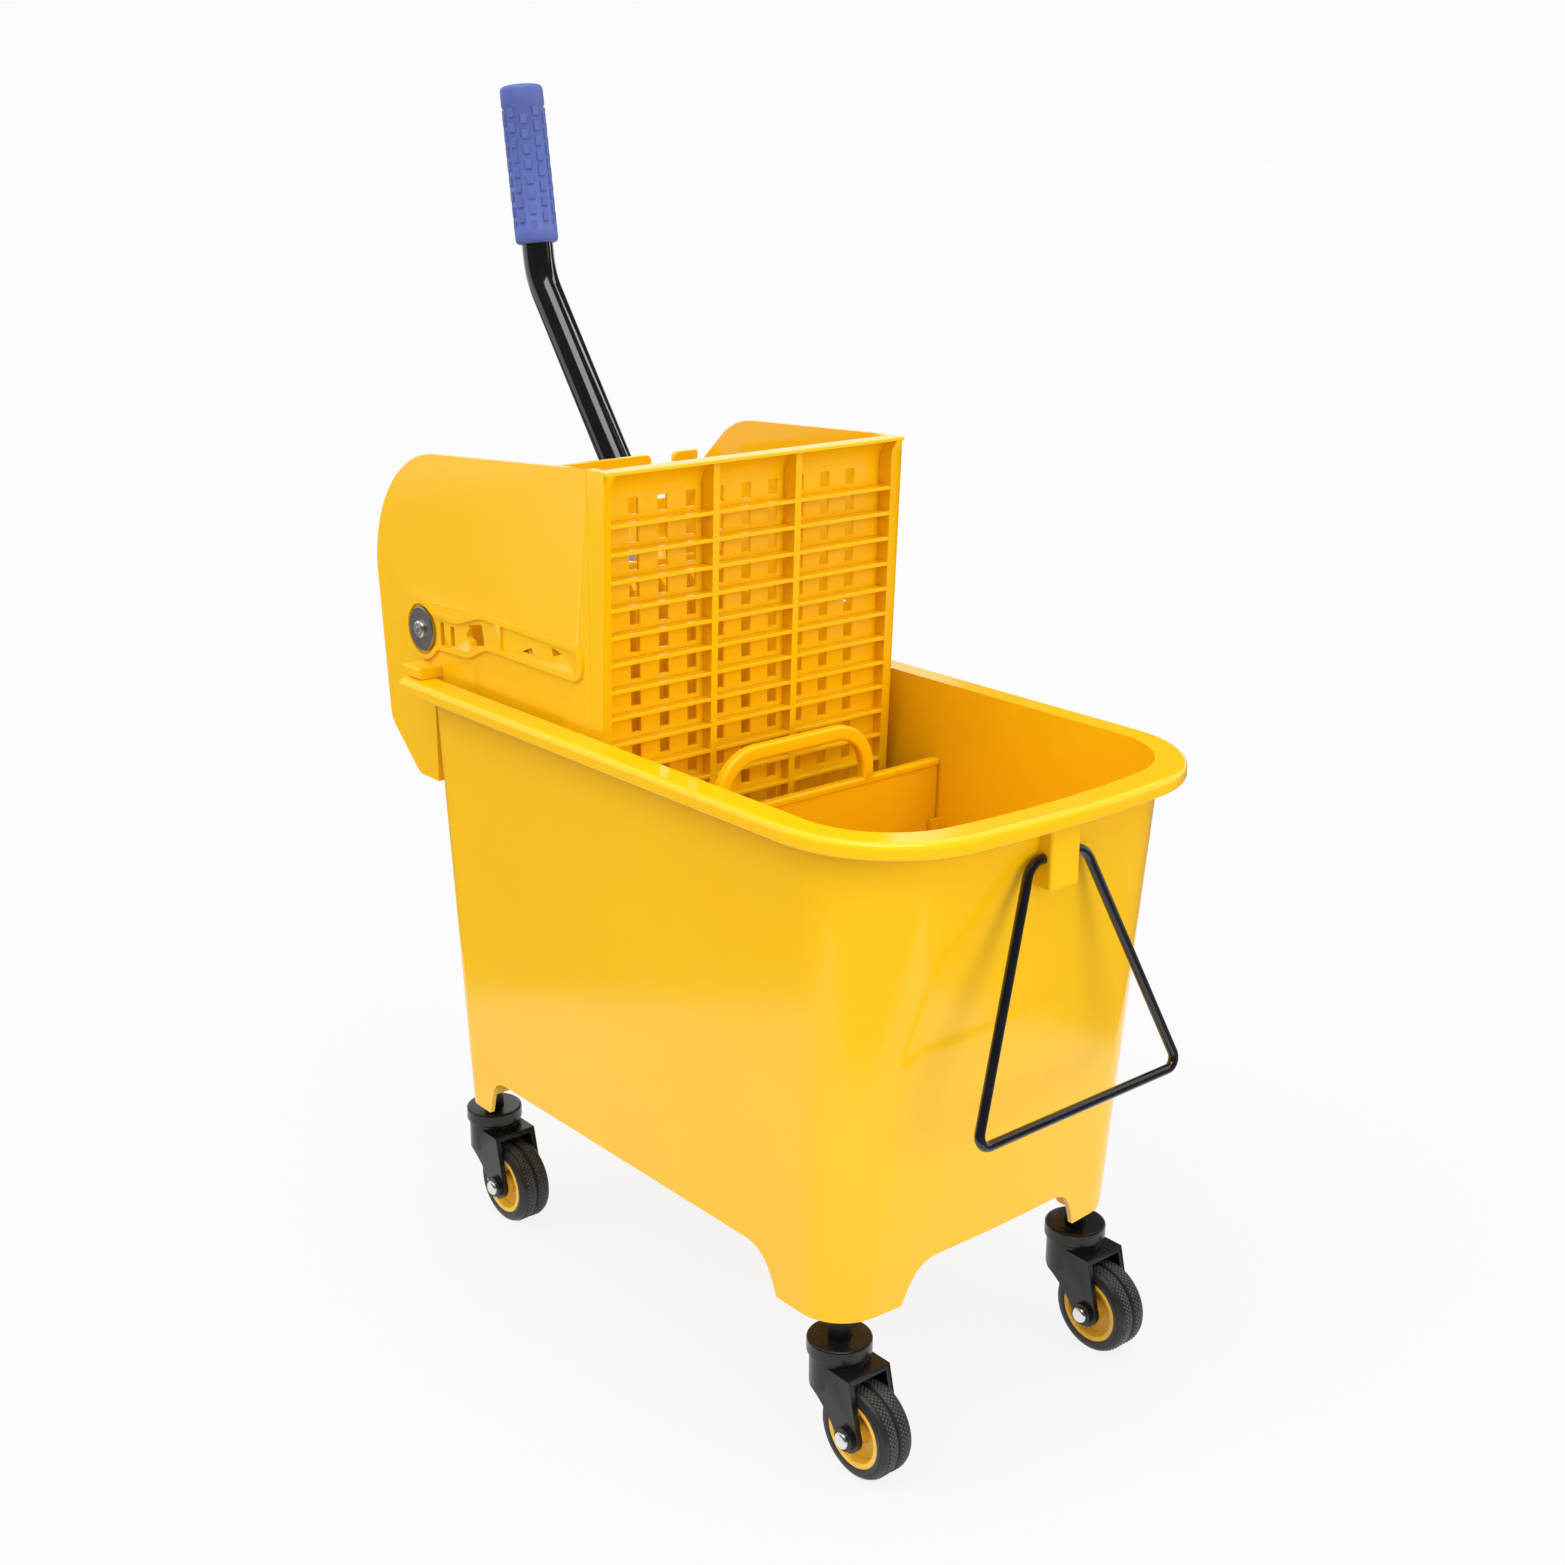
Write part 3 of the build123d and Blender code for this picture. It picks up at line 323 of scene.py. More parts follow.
def finish_material(name, colour, deep, rough, grain, drift, scuff=None, metallic=0.0, coat=0.0):
    """Material with drifting tone and gloss, and a grained surface.

    deep is the gain that makes the deeper tone, rough the least and the most roughness, and drift the
    spread of the change of tone.
    """
    material, shader = new_material(name)
    tree = material.node_tree
    place = add_node(tree, "ShaderNodeTexCoord").outputs["Object"]
    tone = add_node(tree, "ShaderNodeGroup", {
        "Place": place, "Colour": opaque(colour), "Deep colour": toned(colour, deep),
        "Scale": drift.scale, "Amount": drift.amount, "Gloss": rough[0], "Dull": rough[1],
    }, node_tree=drift_group())
    skin = add_node(tree, "ShaderNodeGroup", {
        "Place": place, "Grain scale": grain.scale, "Grain": grain.share,
        "Wave scale": grain.wave_scale, "Wave": grain.wave_share}, node_tree=grain_group())
    bump = add_node(tree, "ShaderNodeBump", {
        "Height": skin.outputs["Height"], "Strength": 1.0, "Distance": grain.depth})
    roughness = tone.outputs["Roughness"]
    if scuff:
        marks = add_node(tree, "ShaderNodeGroup", {
            "Place": place, "Scale": scuff.scale, "Amount": scuff.amount}, node_tree=scuff_group())
        roughness = add_node(tree, "ShaderNodeMath", {
            0: roughness, 1: marks.outputs["Mask"]}, operation="ADD", use_clamp=True).outputs[0]
    tree.links.new(tone.outputs["Colour"], shader.inputs["Base Color"])
    tree.links.new(roughness, shader.inputs["Roughness"])
    tree.links.new(bump.outputs["Normal"], shader.inputs["Normal"])
    shader.inputs["Metallic"].default_value = metallic
    shader.inputs["Coat Weight"].default_value = coat
    return material


def make_finishes():
    """One material per slot of the record."""
    look = settings("finishes")
    enamel_deep = (1.6, 1.6, 1.7)
    return {
        "yellow_plastic": finish_material(
            "yellow_moulding", look.yellow, deep=(0.97, 0.93, 0.8), rough=(0.11, 0.17),
            grain=Grain(900.0, 0.03, 11.0, 1.0, 0.00016), drift=Spread(7.0, 0.8), scuff=Spread(40.0, 0.05)),
        "hub_plastic": finish_material(
            "wheel_centre_moulding", look.hub, deep=(0.9, 0.82, 0.7), rough=(0.24, 0.36),
            grain=Grain(1500.0, 0.2, 60.0, 1.0, 0.00004), drift=Spread(90.0, 0.8)),
        "black_plastic": finish_material(
            "black_moulding", look.black, deep=(1.4, 1.35, 1.3), rough=(0.22, 0.3),
            grain=Grain(1700.0, 0.5, 30.0, 1.0, 0.00002), drift=Spread(60.0, 0.6), scuff=Spread(120.0, 0.08)),
        "tyre_rubber": finish_material(
            "tyre_rubber", look.tyre, deep=(1.7, 1.65, 1.6), rough=(0.36, 0.5),
            grain=Grain(1300.0, 1.0, 60.0, 0.4, 0.00006), drift=Spread(110.0, 0.8),
            scuff=Spread(160.0, 0.15)),
        "blue_rubber": finish_material(
            "blue_grip_rubber", look.grip, deep=(0.86, 0.88, 0.92), rough=(0.46, 0.6),
            grain=Grain(1400.0, 1.0, 70.0, 0.6, 0.00004), drift=Spread(70.0, 0.8)),
        "black_tube": finish_material(
            "black_lever_enamel", look.enamel, deep=enamel_deep, rough=(0.07, 0.12),
            grain=Grain(700.0, 0.1, 60.0, 1.0, 0.00003), drift=Spread(50.0, 0.8), scuff=Spread(90.0, 0.08),
            coat=0.5),
        "wire": finish_material(
            "black_wire_enamel", look.enamel, deep=enamel_deep, rough=(0.1, 0.18),
            grain=Grain(900.0, 0.2, 120.0, 1.0, 0.00003), drift=Spread(70.0, 0.8), scuff=Spread(130.0, 0.1),
            coat=0.5),
        "bolt_steel": finish_material(
            "bright_zinc", look.zinc, deep=(0.88, 0.88, 0.9), rough=(0.24, 0.36),
            grain=Grain(1600.0, 1.0, 300.0, 0.6, 0.00002), drift=Spread(260.0, 0.9), scuff=Spread(300.0, 0.1),
            metallic=1.0),
        "washer_steel": finish_material(
            "dull_washer_steel", look.washer, deep=(0.78, 0.78, 0.8), rough=(0.32, 0.46),
            grain=Grain(1500.0, 1.0, 220.0, 0.6, 0.00002), drift=Spread(200.0, 0.9),
            scuff=Spread(260.0, 0.12), metallic=1.0),
        "stem_steel": finish_material(
            "black_stem_steel", look.black, deep=(1.5, 1.5, 1.5), rough=(0.3, 0.42),
            grain=Grain(1500.0, 1.0, 200.0, 0.6, 0.00002), drift=Spread(120.0, 0.8), metallic=0.3),
    }


def slot_material(slot):
    """The finish that the CAD nodes of one slot carry."""
    node = next(node for node, its_slot in SLOT_OF.items() if its_slot == slot)
    return frame["nodes"][node].data.materials[0]


# Shapes


def smooth(mesh, angle=35.0):
    """Shade smooth, with creases where faces meet at more than an angle."""
    mesh.polygons.foreach_set("use_smooth", [True] * len(mesh.polygons))
    mesh.set_sharp_from_angle(angle=math.radians(angle))


def new_piece(name, mesh, material, body, stands_for=()):
    """Make an object of a finished mesh, let it ride on its body and hide the CAD nodes it stands for."""
    mesh.materials.clear()
    mesh.materials.append(material)
    piece = bpy.data.objects.new(name, mesh)
    bpy.context.scene.collection.objects.link(piece)
    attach(piece, body)
    if stands_for:
        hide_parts(*stands_for)
    return piece


def round_edges(piece, width, segments=2, angle=40.0):
    """Round a piece's edges where its faces meet at more than an angle."""
    bevel = piece.modifiers.new("edge_round", "BEVEL")
    bevel.width = width
    bevel.segments = segments
    bevel.limit_method = "ANGLE"
    bevel.angle_limit = math.radians(angle)
    bevel.use_clamp_overlap = True
    bevel.harden_normals = True


def merged_copy(node):
    """Mesh of a CAD node as joined faces, with its flat parts made one face."""
    shape = bmesh.new()
    shape.from_mesh(frame["nodes"][node].data)
    bmesh.ops.remove_doubles(shape, verts=shape.verts, dist=1e-6)
    bmesh.ops.dissolve_limit(shape, angle_limit=math.radians(0.4), verts=shape.verts, edges=shape.edges)
    mesh = bpy.data.meshes.new(f"{node}_mould")
    shape.to_mesh(mesh)
    shape.free()
    return mesh


def rounded_piece(node, width, segments=2, angle=40.0):
    """Piece that stands for a CAD node, with its moulded edges rounded."""
    mesh = merged_copy(node)
    smooth(mesh, angle)
    slot = SLOT_OF[node]
    piece = new_piece(f"{node}_moulded", mesh, slot_material(slot), BODY_OF[node], (node,))
    round_edges(piece, width, segments, angle)
    return piece


def prism(shape, outline, low_y, high_y):
    """Add a straight piece to a bmesh, an outline in X and Z drawn along Y; returns both ends' corners."""
    near = [shape.verts.new((x, low_y, z)) for x, z in outline]
    far = [shape.verts.new((x, high_y, z)) for x, z in outline]
    shape.faces.new(near)
    shape.faces.new(list(reversed(far)))
    count = len(outline)
    for i in range(count):
        j = (i + 1) % count
        shape.faces.new((near[j], near[i], far[i], far[j]))
    return near, far


def arc(centre, radius, start, end, steps):
    """Points on an arc, angles in degrees."""
    points = []
    for i in range(steps + 1):
        angle = math.radians(start + (end - start) * i / steps)
        points.append((centre[0] + radius * math.cos(angle), centre[1] + radius * math.sin(angle)))
    return points


def lathe(profile, steps):
    """A bmesh of a closed profile of (radius, height) turned about Z."""
    shape = bmesh.new()
    rings = []
    for i in range(steps):
        angle = 2 * math.pi * i / steps
        rings.append([shape.verts.new((r * math.cos(angle), r * math.sin(angle), h)) for r, h in profile])
    count = len(profile)
    for i in range(steps):
        here, there = rings[i], rings[(i + 1) % steps]
        for j in range(count):
            k = (j + 1) % count
            shape.faces.new((here[j], there[j], there[k], here[k]))
    bmesh.ops.remove_doubles(shape, verts=shape.verts, dist=1e-7)
    bmesh.ops.recalc_face_normals(shape, faces=shape.faces)
    return shape


def to_mesh(shape, name, place=None):
    """Turn a bmesh into a mesh, moved to its place."""
    if place:
        bmesh.ops.transform(shape, matrix=place, verts=shape.verts)
    mesh = bpy.data.meshes.new(name)
    shape.to_mesh(mesh)
    shape.free()
    return mesh


# Geometry Nodes trees for what repeats


def grow(tree, values, name):
    """Run a Geometry Nodes tree with the given inputs and keep the result as a plain mesh."""
    scaffold = bpy.data.objects.new(name, bpy.data.meshes.new(name))
    bpy.context.scene.collection.objects.link(scaffold)
    modifier = scaffold.modifiers.new("grow", "NODES")
    modifier.node_group = tree
    for item in tree.interface.items_tree:
        if item.item_type == "SOCKET" and item.in_out == "INPUT" and item.name in values:
            modifier[item.identifier] = values[item.name]
    graph = bpy.context.evaluated_depsgraph_get()
    mesh = bpy.data.meshes.new_from_object(scaffold.evaluated_get(graph))
    scaffold.modifiers.remove(modifier)
    bpy.data.objects.remove(scaffold)
    if not mesh.polygons:
        raise RuntimeError(f"{name} grew no faces")
    mesh.name = name
    return mesh


def end_tree(tree, out, geometry, finish):
    """Close a tree: real faces with their material."""
    real = add_node(tree, "GeometryNodeRealizeInstances", {"Geometry": geometry})
    merged = add_node(tree, "GeometryNodeMergeByDistance", {"Geometry": real.outputs[0], "Distance": 1e-6})
    painted = add_node(tree, "GeometryNodeSetMaterial", {"Geometry": merged.outputs[0], "Material": finish})
    tree.links.new(painted.outputs[0], out.inputs["Geometry"])


def rib_tree():
    """Row of bars that get shorter from one to the next, each growing forward from its own back face."""
    tree, given, out = new_group("rib_row", "GeometryNodeTree", {
        "Count": "NodeSocketInt", "Start": "NodeSocketVector", "Step": "NodeSocketVector",
        "Size": "NodeSocketVector", "Taper": "NodeSocketFloat", "Finish": "NodeSocketMaterial",
    }, {"Geometry": "NodeSocketGeometry"})
    line = add_node(tree, "GeometryNodeMeshLine", {
        "Count": given.outputs["Count"], "Start Location": given.outputs["Start"],
        "Offset": given.outputs["Step"]}, mode="OFFSET")
    bar = add_node(tree, "GeometryNodeMeshCube", {"Size": given.outputs["Size"]})
    depth = add_node(tree, "ShaderNodeSeparateXYZ", {0: given.outputs["Size"]})
    half = add_node(tree, "ShaderNodeMath", {0: depth.outputs["X"], 1: 0.5}, operation="MULTIPLY")
    forward = add_node(tree, "ShaderNodeCombineXYZ", {"X": half.outputs[0]})
    moved = add_node(tree, "GeometryNodeTransform", {
        "Geometry": bar.outputs["Mesh"], "Translation": forward.outputs[0]})
    number = add_node(tree, "GeometryNodeInputIndex")
    length = add_node(tree, "ShaderNodeMath", {
        0: number.outputs[0], 1: given.outputs["Taper"], 2: 1.0}, operation="MULTIPLY_ADD")
    scale = add_node(tree, "ShaderNodeCombineXYZ", {"X": length.outputs[0], "Y": 1.0, "Z": 1.0})
    bars = add_node(tree, "GeometryNodeInstanceOnPoints", {
        "Points": line.outputs["Mesh"], "Instance": moved.outputs[0], "Scale": scale.outputs[0]})
    end_tree(tree, out, bars.outputs[0], given.outputs["Finish"])
    return tree


def web_tree():
    """Wall of like cells, each with one hole, in rows and columns."""
    tree, given, out = new_group("pierced_web", "GeometryNodeTree", {
        "Cell": "NodeSocketObject", "Columns": "NodeSocketInt", "Rows": "NodeSocketInt",
        "Column pitch": "NodeSocketFloat", "Row pitch": "NodeSocketFloat", "Place": "NodeSocketVector",
        "Finish": "NodeSocketMaterial",
    }, {"Geometry": "NodeSocketGeometry"})
    cell = add_node(tree, "GeometryNodeObjectInfo", {"Object": given.outputs["Cell"]})
    across = add_node(tree, "ShaderNodeCombineXYZ", {"Y": given.outputs["Column pitch"]})
    down = add_node(tree, "ShaderNodeCombineXYZ", {"Z": given.outputs["Row pitch"]})
    row = add_node(tree, "GeometryNodeMeshLine", {
        "Count": given.outputs["Columns"], "Offset": across.outputs[0]}, mode="OFFSET")
    cells = add_node(tree, "GeometryNodeInstanceOnPoints", {
        "Points": row.outputs["Mesh"], "Instance": cell.outputs["Geometry"]})
    stack = add_node(tree, "GeometryNodeMeshLine", {
        "Count": given.outputs["Rows"], "Start Location": given.outputs["Place"], "Offset": down.outputs[0]},
        mode="OFFSET")
    wall = add_node(tree, "GeometryNodeInstanceOnPoints", {
        "Points": stack.outputs["Mesh"], "Instance": cells.outputs[0]})
    end_tree(tree, out, wall.outputs[0], given.outputs["Finish"])
    return tree


def ring_tree():
    """Columns of pads on a round body about Z, every other one set off, turned and moved into place."""
    tree, given, out = new_group("pads_round", "GeometryNodeTree", {
        "Columns": "NodeSocketInt", "Pads": "NodeSocketInt", "Radius": "NodeSocketFloat",
        "First": "NodeSocketFloat", "Pitch": "NodeSocketFloat", "Stagger": "NodeSocketFloat",
        "Pad": "NodeSocketVector", "Pad turn": "NodeSocketFloat", "Turn": "NodeSocketRotation",
        "Place": "NodeSocketVector", "Finish": "NodeSocketMaterial",
    }, {"Geometry": "NodeSocketGeometry"})
    pad = add_node(tree, "GeometryNodeMeshCube", {"Size": given.outputs["Pad"]})
    twist = add_node(tree, "ShaderNodeCombineXYZ", {"X": given.outputs["Pad turn"]})
    turned = add_node(tree, "GeometryNodeTransform", {
        "Geometry": pad.outputs["Mesh"], "Rotation": twist.outputs[0]})
    start = add_node(tree, "ShaderNodeCombineXYZ", {"Z": given.outputs["First"]})
    rise = add_node(tree, "ShaderNodeCombineXYZ", {"Z": given.outputs["Pitch"]})
    line = add_node(tree, "GeometryNodeMeshLine", {
        "Count": given.outputs["Pads"], "Start Location": start.outputs[0], "Offset": rise.outputs[0]},
        mode="OFFSET")
    column = add_node(tree, "GeometryNodeInstanceOnPoints", {
        "Points": line.outputs["Mesh"], "Instance": turned.outputs[0]})
    circle = add_node(tree, "GeometryNodeMeshCircle", {
        "Vertices": given.outputs["Columns"], "Radius": given.outputs["Radius"]})
    number = add_node(tree, "GeometryNodeInputIndex")
    odd = add_node(tree, "ShaderNodeMath", {0: number.outputs[0], 1: 2.0}, operation="MODULO")
    lift = add_node(tree, "ShaderNodeMath", {
        0: odd.outputs[0], 1: given.outputs["Stagger"]}, operation="MULTIPLY")
    offset = add_node(tree, "ShaderNodeCombineXYZ", {"Z": lift.outputs[0]})
    staggered = add_node(tree, "GeometryNodeSetPosition", {
        "Geometry": circle.outputs["Mesh"], "Offset": offset.outputs[0]})
    share = add_node(tree, "ShaderNodeMath", {
        0: number.outputs[0], 1: given.outputs["Columns"]}, operation="DIVIDE")
    angle = add_node(tree, "ShaderNodeMath", {0: share.outputs[0], 1: math.tau}, operation="MULTIPLY")
    spin = add_node(tree, "ShaderNodeCombineXYZ", {"Z": angle.outputs[0]})
    ring = add_node(tree, "GeometryNodeInstanceOnPoints", {
        "Points": staggered.outputs[0], "Instance": column.outputs[0], "Rotation": spin.outputs[0]})
    placed = add_node(tree, "GeometryNodeTransform", {
        "Geometry": ring.outputs[0], "Translation": given.outputs["Place"],
        "Rotation": given.outputs["Turn"]})
    end_tree(tree, out, placed.outputs[0], given.outputs["Finish"])
    return tree


# Operators


class BUCKET_OT_finish(bpy.types.Operator):
    """Give every CAD node its moulded, rubber or metal finish"""

    bl_idname = "bucket.finish"
    bl_label = "Finishes"

    def execute(self, context):
        by_slot = make_finishes()
        for node, slot in SLOT_OF.items():
            mesh = frame["nodes"][node].data
            mesh.materials.clear()
            mesh.materials.append(by_slot[slot])
        return {"FINISHED"}


class BUCKET_OT_grille(bpy.types.Operator):
    """Make the wringer's front panel: pierced web, level ribs, uprights and top lip"""

    bl_idname = "bucket.grille"
    bl_label = "Wringer grille"

    def web_cell(self, size):
        """One cell of the web with a bevelled hole, its middle at the origin in Y and Z."""
        shape = bmesh.new()
        back, front = size.web_back, size.web_back + size.web_thickness
        rim = size.edge_round
        wide, high = size.hole_pitch / 2, size.row_pitch / 2
        hole_w, hole_h = size.hole_width / 2, size.hole_height / 2
        loops = [
            (front, wide, high), (front, hole_w + rim, hole_h + rim), (front - rim, hole_w, hole_h),
            (back + rim, hole_w, hole_h), (back, hole_w + rim, hole_h + rim), (back, wide, high),
        ]
        rings = []
        for x, w, h in loops:
            rings.append([shape.verts.new((x, y, z)) for y, z in ((-w, -h), (w, -h), (w, h), (-w, h))])
        for here, there in zip(rings, rings[1:]):
            for i in range(4):
                j = (i + 1) % 4
                shape.faces.new((here[i], here[j], there[j], there[i]))
        cell = bpy.data.objects.new("web_cell", to_mesh(shape, "web_cell"))
        bpy.context.scene.collection.objects.link(cell)
        return cell

    def frame_mesh(self, size, low, high):
        """Uprights, lip, margins of the web and foot, as one mesh."""
        shape = bmesh.new()
        top, foot, tip = high.z, low.z, high.x
        back = size.web_back
        web_front = back + size.web_thickness
        middle = (low.y + high.y) / 2
        inset, below = 0.2 * MM, 0.15 * MM

        # Top lip, hollow underneath, its rear a little off the web's rear face
        hollow, edge, crown, nip = 14 * MM, 2 * MM, 8 * MM, 0.6 * MM
        lip_back = back + 0.1 * MM
        lip = list(reversed(arc((lip_back + crown, top - crown), crown, 90, 180, 6)))
        lip += [(tip - nip, top), (tip, top - nip), (tip, top - edge)]
        lip += arc((web_front + hollow, top - edge - hollow), hollow, 90, 180, 8)
        lip += [(lip_back, top - edge - hollow)]
        prism(shape, list(reversed(lip)), low.y + 2 * inset, high.y - 2 * inset)

        # Outer uprights, beaded along the outer edge of their front
        root, flare = back - 2 * MM, 9 * MM
        flared = [
            (root, foot), (size.foot_front, foot), (size.top_front, top - flare), (tip - below, top - edge),
            (tip - below, top - below), (root, top - below)]
        left, _ = prism(shape, flared, low.y + inset, low.y + size.outer_rib)
        _, right = prism(shape, flared, high.y - size.outer_rib, high.y - inset)
        beaded = [shape.edges.get(pair) for side in (left, right) for pair in zip(side[1:4], side[2:5])]
        bmesh.ops.bevel(
            shape, geom=beaded, offset=size.bead, offset_type="OFFSET", segments=4, profile=0.5,
            affect="EDGES")

        # Inner uprights
        rib_top = top - 1.5 * MM
        plain = [
            (back + 0.3 * MM, foot), (size.foot_front, foot), (size.top_front, rib_top),
            (back + 3 * MM, rib_top)]
        for sign in (-1, 1):
            y = middle + sign * size.inner_place
            prism(shape, plain, y - size.inner_rib / 2, y + size.inner_rib / 2)

        # Margins of the web round its holes
        margin, web_top = 1 * MM, top - 12 * MM
        holes_half = size.hole_count * size.hole_pitch / 2
        cells_top = size.first_row + size.row_pitch
        cells_foot = size.first_row - (size.row_count - 1) * size.row_pitch
        slabs = [
            (low.y + margin, middle - holes_half, foot, web_top),
            (middle + holes_half, high.y - margin, foot, web_top),
            (middle - holes_half, middle + holes_half, foot, cells_foot),
            (middle - holes_half, middle + holes_half, cells_top, web_top),
        ]
        for start, end, bottom, over in slabs:
            prism(shape, [(back, bottom), (web_front, bottom), (web_front, over), (back, over)], start, end)
        bmesh.ops.recalc_face_normals(shape, faces=shape.faces)
        return to_mesh(shape, "grille_frame")

    def execute(self, context):
        size = settings("grille")
        low, high = (Vector(c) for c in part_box("wringer_grille"))
        finish = slot_material("yellow_plastic")
        middle = (low.y + high.y) / 2
        web_front = size.web_back + size.web_thickness

        mesh = self.frame_mesh(size, low, high)
        smooth(mesh)
        panel = new_piece("grille_frame", mesh, finish, "wringer", ("wringer_grille",))
        round_edges(panel, size.edge_round)

        cell = self.web_cell(size)
        holes = grow(web_tree(), {
            "Cell": cell, "Columns": size.hole_count, "Rows": size.row_count,
            "Column pitch": size.hole_pitch, "Row pitch": -size.row_pitch,
            "Place": (
                0.0, middle - (size.hole_count - 1) / 2 * size.hole_pitch,
                size.first_row + size.row_pitch / 2),
            "Finish": finish}, "grille_web")
        bpy.data.objects.remove(cell)
        smooth(holes)
        new_piece("grille_web", holes, finish, "wringer")

        slope = (size.top_front - size.foot_front) / (high.z - low.z)
        first_front = size.top_front - slope * (high.z - size.first_row)
        sunk = 1 * MM
        first_depth = first_front - web_front + sunk
        bars = grow(rib_tree(), {
            "Count": size.row_count, "Start": (web_front - sunk, middle, size.first_row),
            "Step": (0.0, 0.0, -size.row_pitch),
            "Size": (first_depth, high.y - low.y - 2 * sunk, size.level_rib),
            "Taper": -slope * size.row_pitch / first_depth, "Finish": finish}, "grille_level_ribs")
        smooth(bars)
        level = new_piece("grille_level_ribs", bars, finish, "wringer")
        round_edges(level, size.edge_round)
        return {"FINISHED"}


class BUCKET_OT_tyres(bpy.types.Operator):
    """Make the four tyres with their grooved and diamond-patterned treads"""

    bl_idname = "bucket.tyres"
    bl_label = "Tyres"

    def profile(self, size, radius, half):
        """Closed section of a tyre as (radius, distance from the middle)."""
        base = radius - size.tread_depth
        bend, bend_place = 3.2 * MM, 3.6 * MM
        bend_angles = (0.15, 0.45, 0.75, 1.05, 1.35, 1.5708)
        # Seat on the wheel centre, side wall with its groove, shoulder and groove in the middle
        side = [
            (size.bead, half - 0.4 * MM), (size.bead + 1.2 * MM, half), (radius - 4.6 * MM, half),
            (radius - 4.0 * MM, half - 0.15 * MM), (radius - 3.75 * MM, half - 0.5 * MM),
            (radius - 3.4 * MM, half - 0.3 * MM),
        ]
        side += [
            (base - bend + bend * math.sin(a), half - bend_place + bend * math.cos(a)) for a in bend_angles]
        side += [(base, 1.2 * MM), (base - 0.25 * MM, 0.95 * MM), (base - 1.0 * MM, 0.6 * MM)]
        return side + [(r, -y) for r, y in reversed(side)]

    def execute(self, context):
        size = settings("tyre")
        finish = slot_material("tyre_rubber")
        # Painted highlight: the tread pads take the tyre's colour four times lighter, standing in for the
        # light the pads catch
        pad_highlight_colour = toned(settings("finishes").tyre, (4.0, 4.0, 4.0))[:3]
        pad_highlight_finish = finish_material(
            "tread_rubber_painted_highlight", pad_highlight_colour, deep=(1.6, 1.6, 1.6), rough=(0.4, 0.55),
            grain=Grain(1300.0, 1.0, 60.0, 0.4, 0.00004), drift=Spread(180.0, 0.9))
        pads = ring_tree()
        pad_depth = size.tread_depth * 1.9
        turn = Matrix.Rotation(math.radians(90), 4, "X")
        for corner in CORNERS:
            node = f"wheel_tyre_{corner}"
            low, high = (Vector(c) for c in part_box(node))
            centre = (low + high) / 2
            radius, half = (high.z - low.z) / 2, (high.y - low.y) / 2
            shape = lathe(self.profile(size, radius, half), steps=120)
            mesh = to_mesh(shape, f"tyre_{corner}", Matrix.Translation(centre) @ turn)
            smooth(mesh, 50.0)
            new_piece(f"tyre_{corner}", mesh, finish, f"wheel_{corner}", (node,))
            # Diamond tread pads in the lighter colour, a painted highlight on the tread
            treads = bmesh.new()
            for sign in (1, -1):
                grown = grow(pads, {
                    "Columns": size.pads_round, "Pads": size.rows, "Radius": radius - size.tread_depth,
                    "First": sign * size.first_row, "Pitch": sign * size.row_step,
                    "Stagger": sign * size.row_step / 2,
                    "Pad": (pad_depth, size.pad, size.pad), "Pad turn": math.radians(45),
                    "Turn": turn.to_euler(), "Place": centre, "Finish": pad_highlight_finish}, f"tread_{corner}")
                treads.from_mesh(grown)
                bpy.data.meshes.remove(grown)
            tread = to_mesh(treads, f"tread_{corner}")
            new_piece(f"tread_{corner}", tread, pad_highlight_finish, f"wheel_{corner}")
        return {"FINISHED"}


class BUCKET_OT_grip(bpy.types.Operator):
    """Make the rubber grip with its raised pads"""

    bl_idname = "bucket.grip"
    bl_label = "Lever grip"

    def execute(self, context):
        size = settings("grip")
        finish = slot_material("blue_rubber")
        lean = Matrix.Rotation(-size.lean, 4, "Y")
        place = Matrix.Translation(size.foot) @ lean
        bore, crown, slack = 11.05 * MM, 3.4 * MM, 0.2 * MM
        band = size.over_pads - 0.05 * MM
        head, end = band - slack, size.length - slack
        inside = size.length - 3 * MM
        # Rounded foot, smooth band, thinner sleeve under the pads, upper band, rounded and closed end
        profile = [(bore, 0.0), (band - 3 * MM, 0.0)]
        profile += [(band - 1.6 * MM, 0.4 * MM), (band - 0.5 * MM, 1.5 * MM)]
        profile += [(band, 3.4 * MM), (band, 11 * MM), (size.sleeve, 12.4 * MM)]
        profile += [(size.sleeve, size.length - 15 * MM), (band, size.length - 13.6 * MM)]
        profile += arc((head - crown, end - crown), crown, 0, 90, 8)
        profile += [(0.0, end), (0.0, inside), (bore, inside)]
        mesh = to_mesh(lathe(profile, steps=72), "grip_sleeve", place)
        smooth(mesh, 50.0)
        new_piece("grip_sleeve", mesh, finish, "press", ("lever_grip",))
        pad_depth, last_pad = 1.5 * MM, size.length - 18.5 * MM
        pads = grow(ring_tree(), {
            "Columns": size.columns, "Pads": size.pads, "Radius": size.over_pads - pad_depth / 2,
            "First": last_pad - (size.pads - 1) * size.pitch, "Pitch": size.pitch,
            "Stagger": -size.pitch / 2, "Pad": (pad_depth, size.pad_width, size.pad_length), "Pad turn": 0.0,
            "Turn": lean.to_euler(), "Place": size.foot, "Finish": finish}, "grip_pads")
        smooth(pads)
        raised = new_piece("grip_pads", pads, finish, "press")
        round_edges(raised, 0.3 * MM)
        return {"FINISHED"}


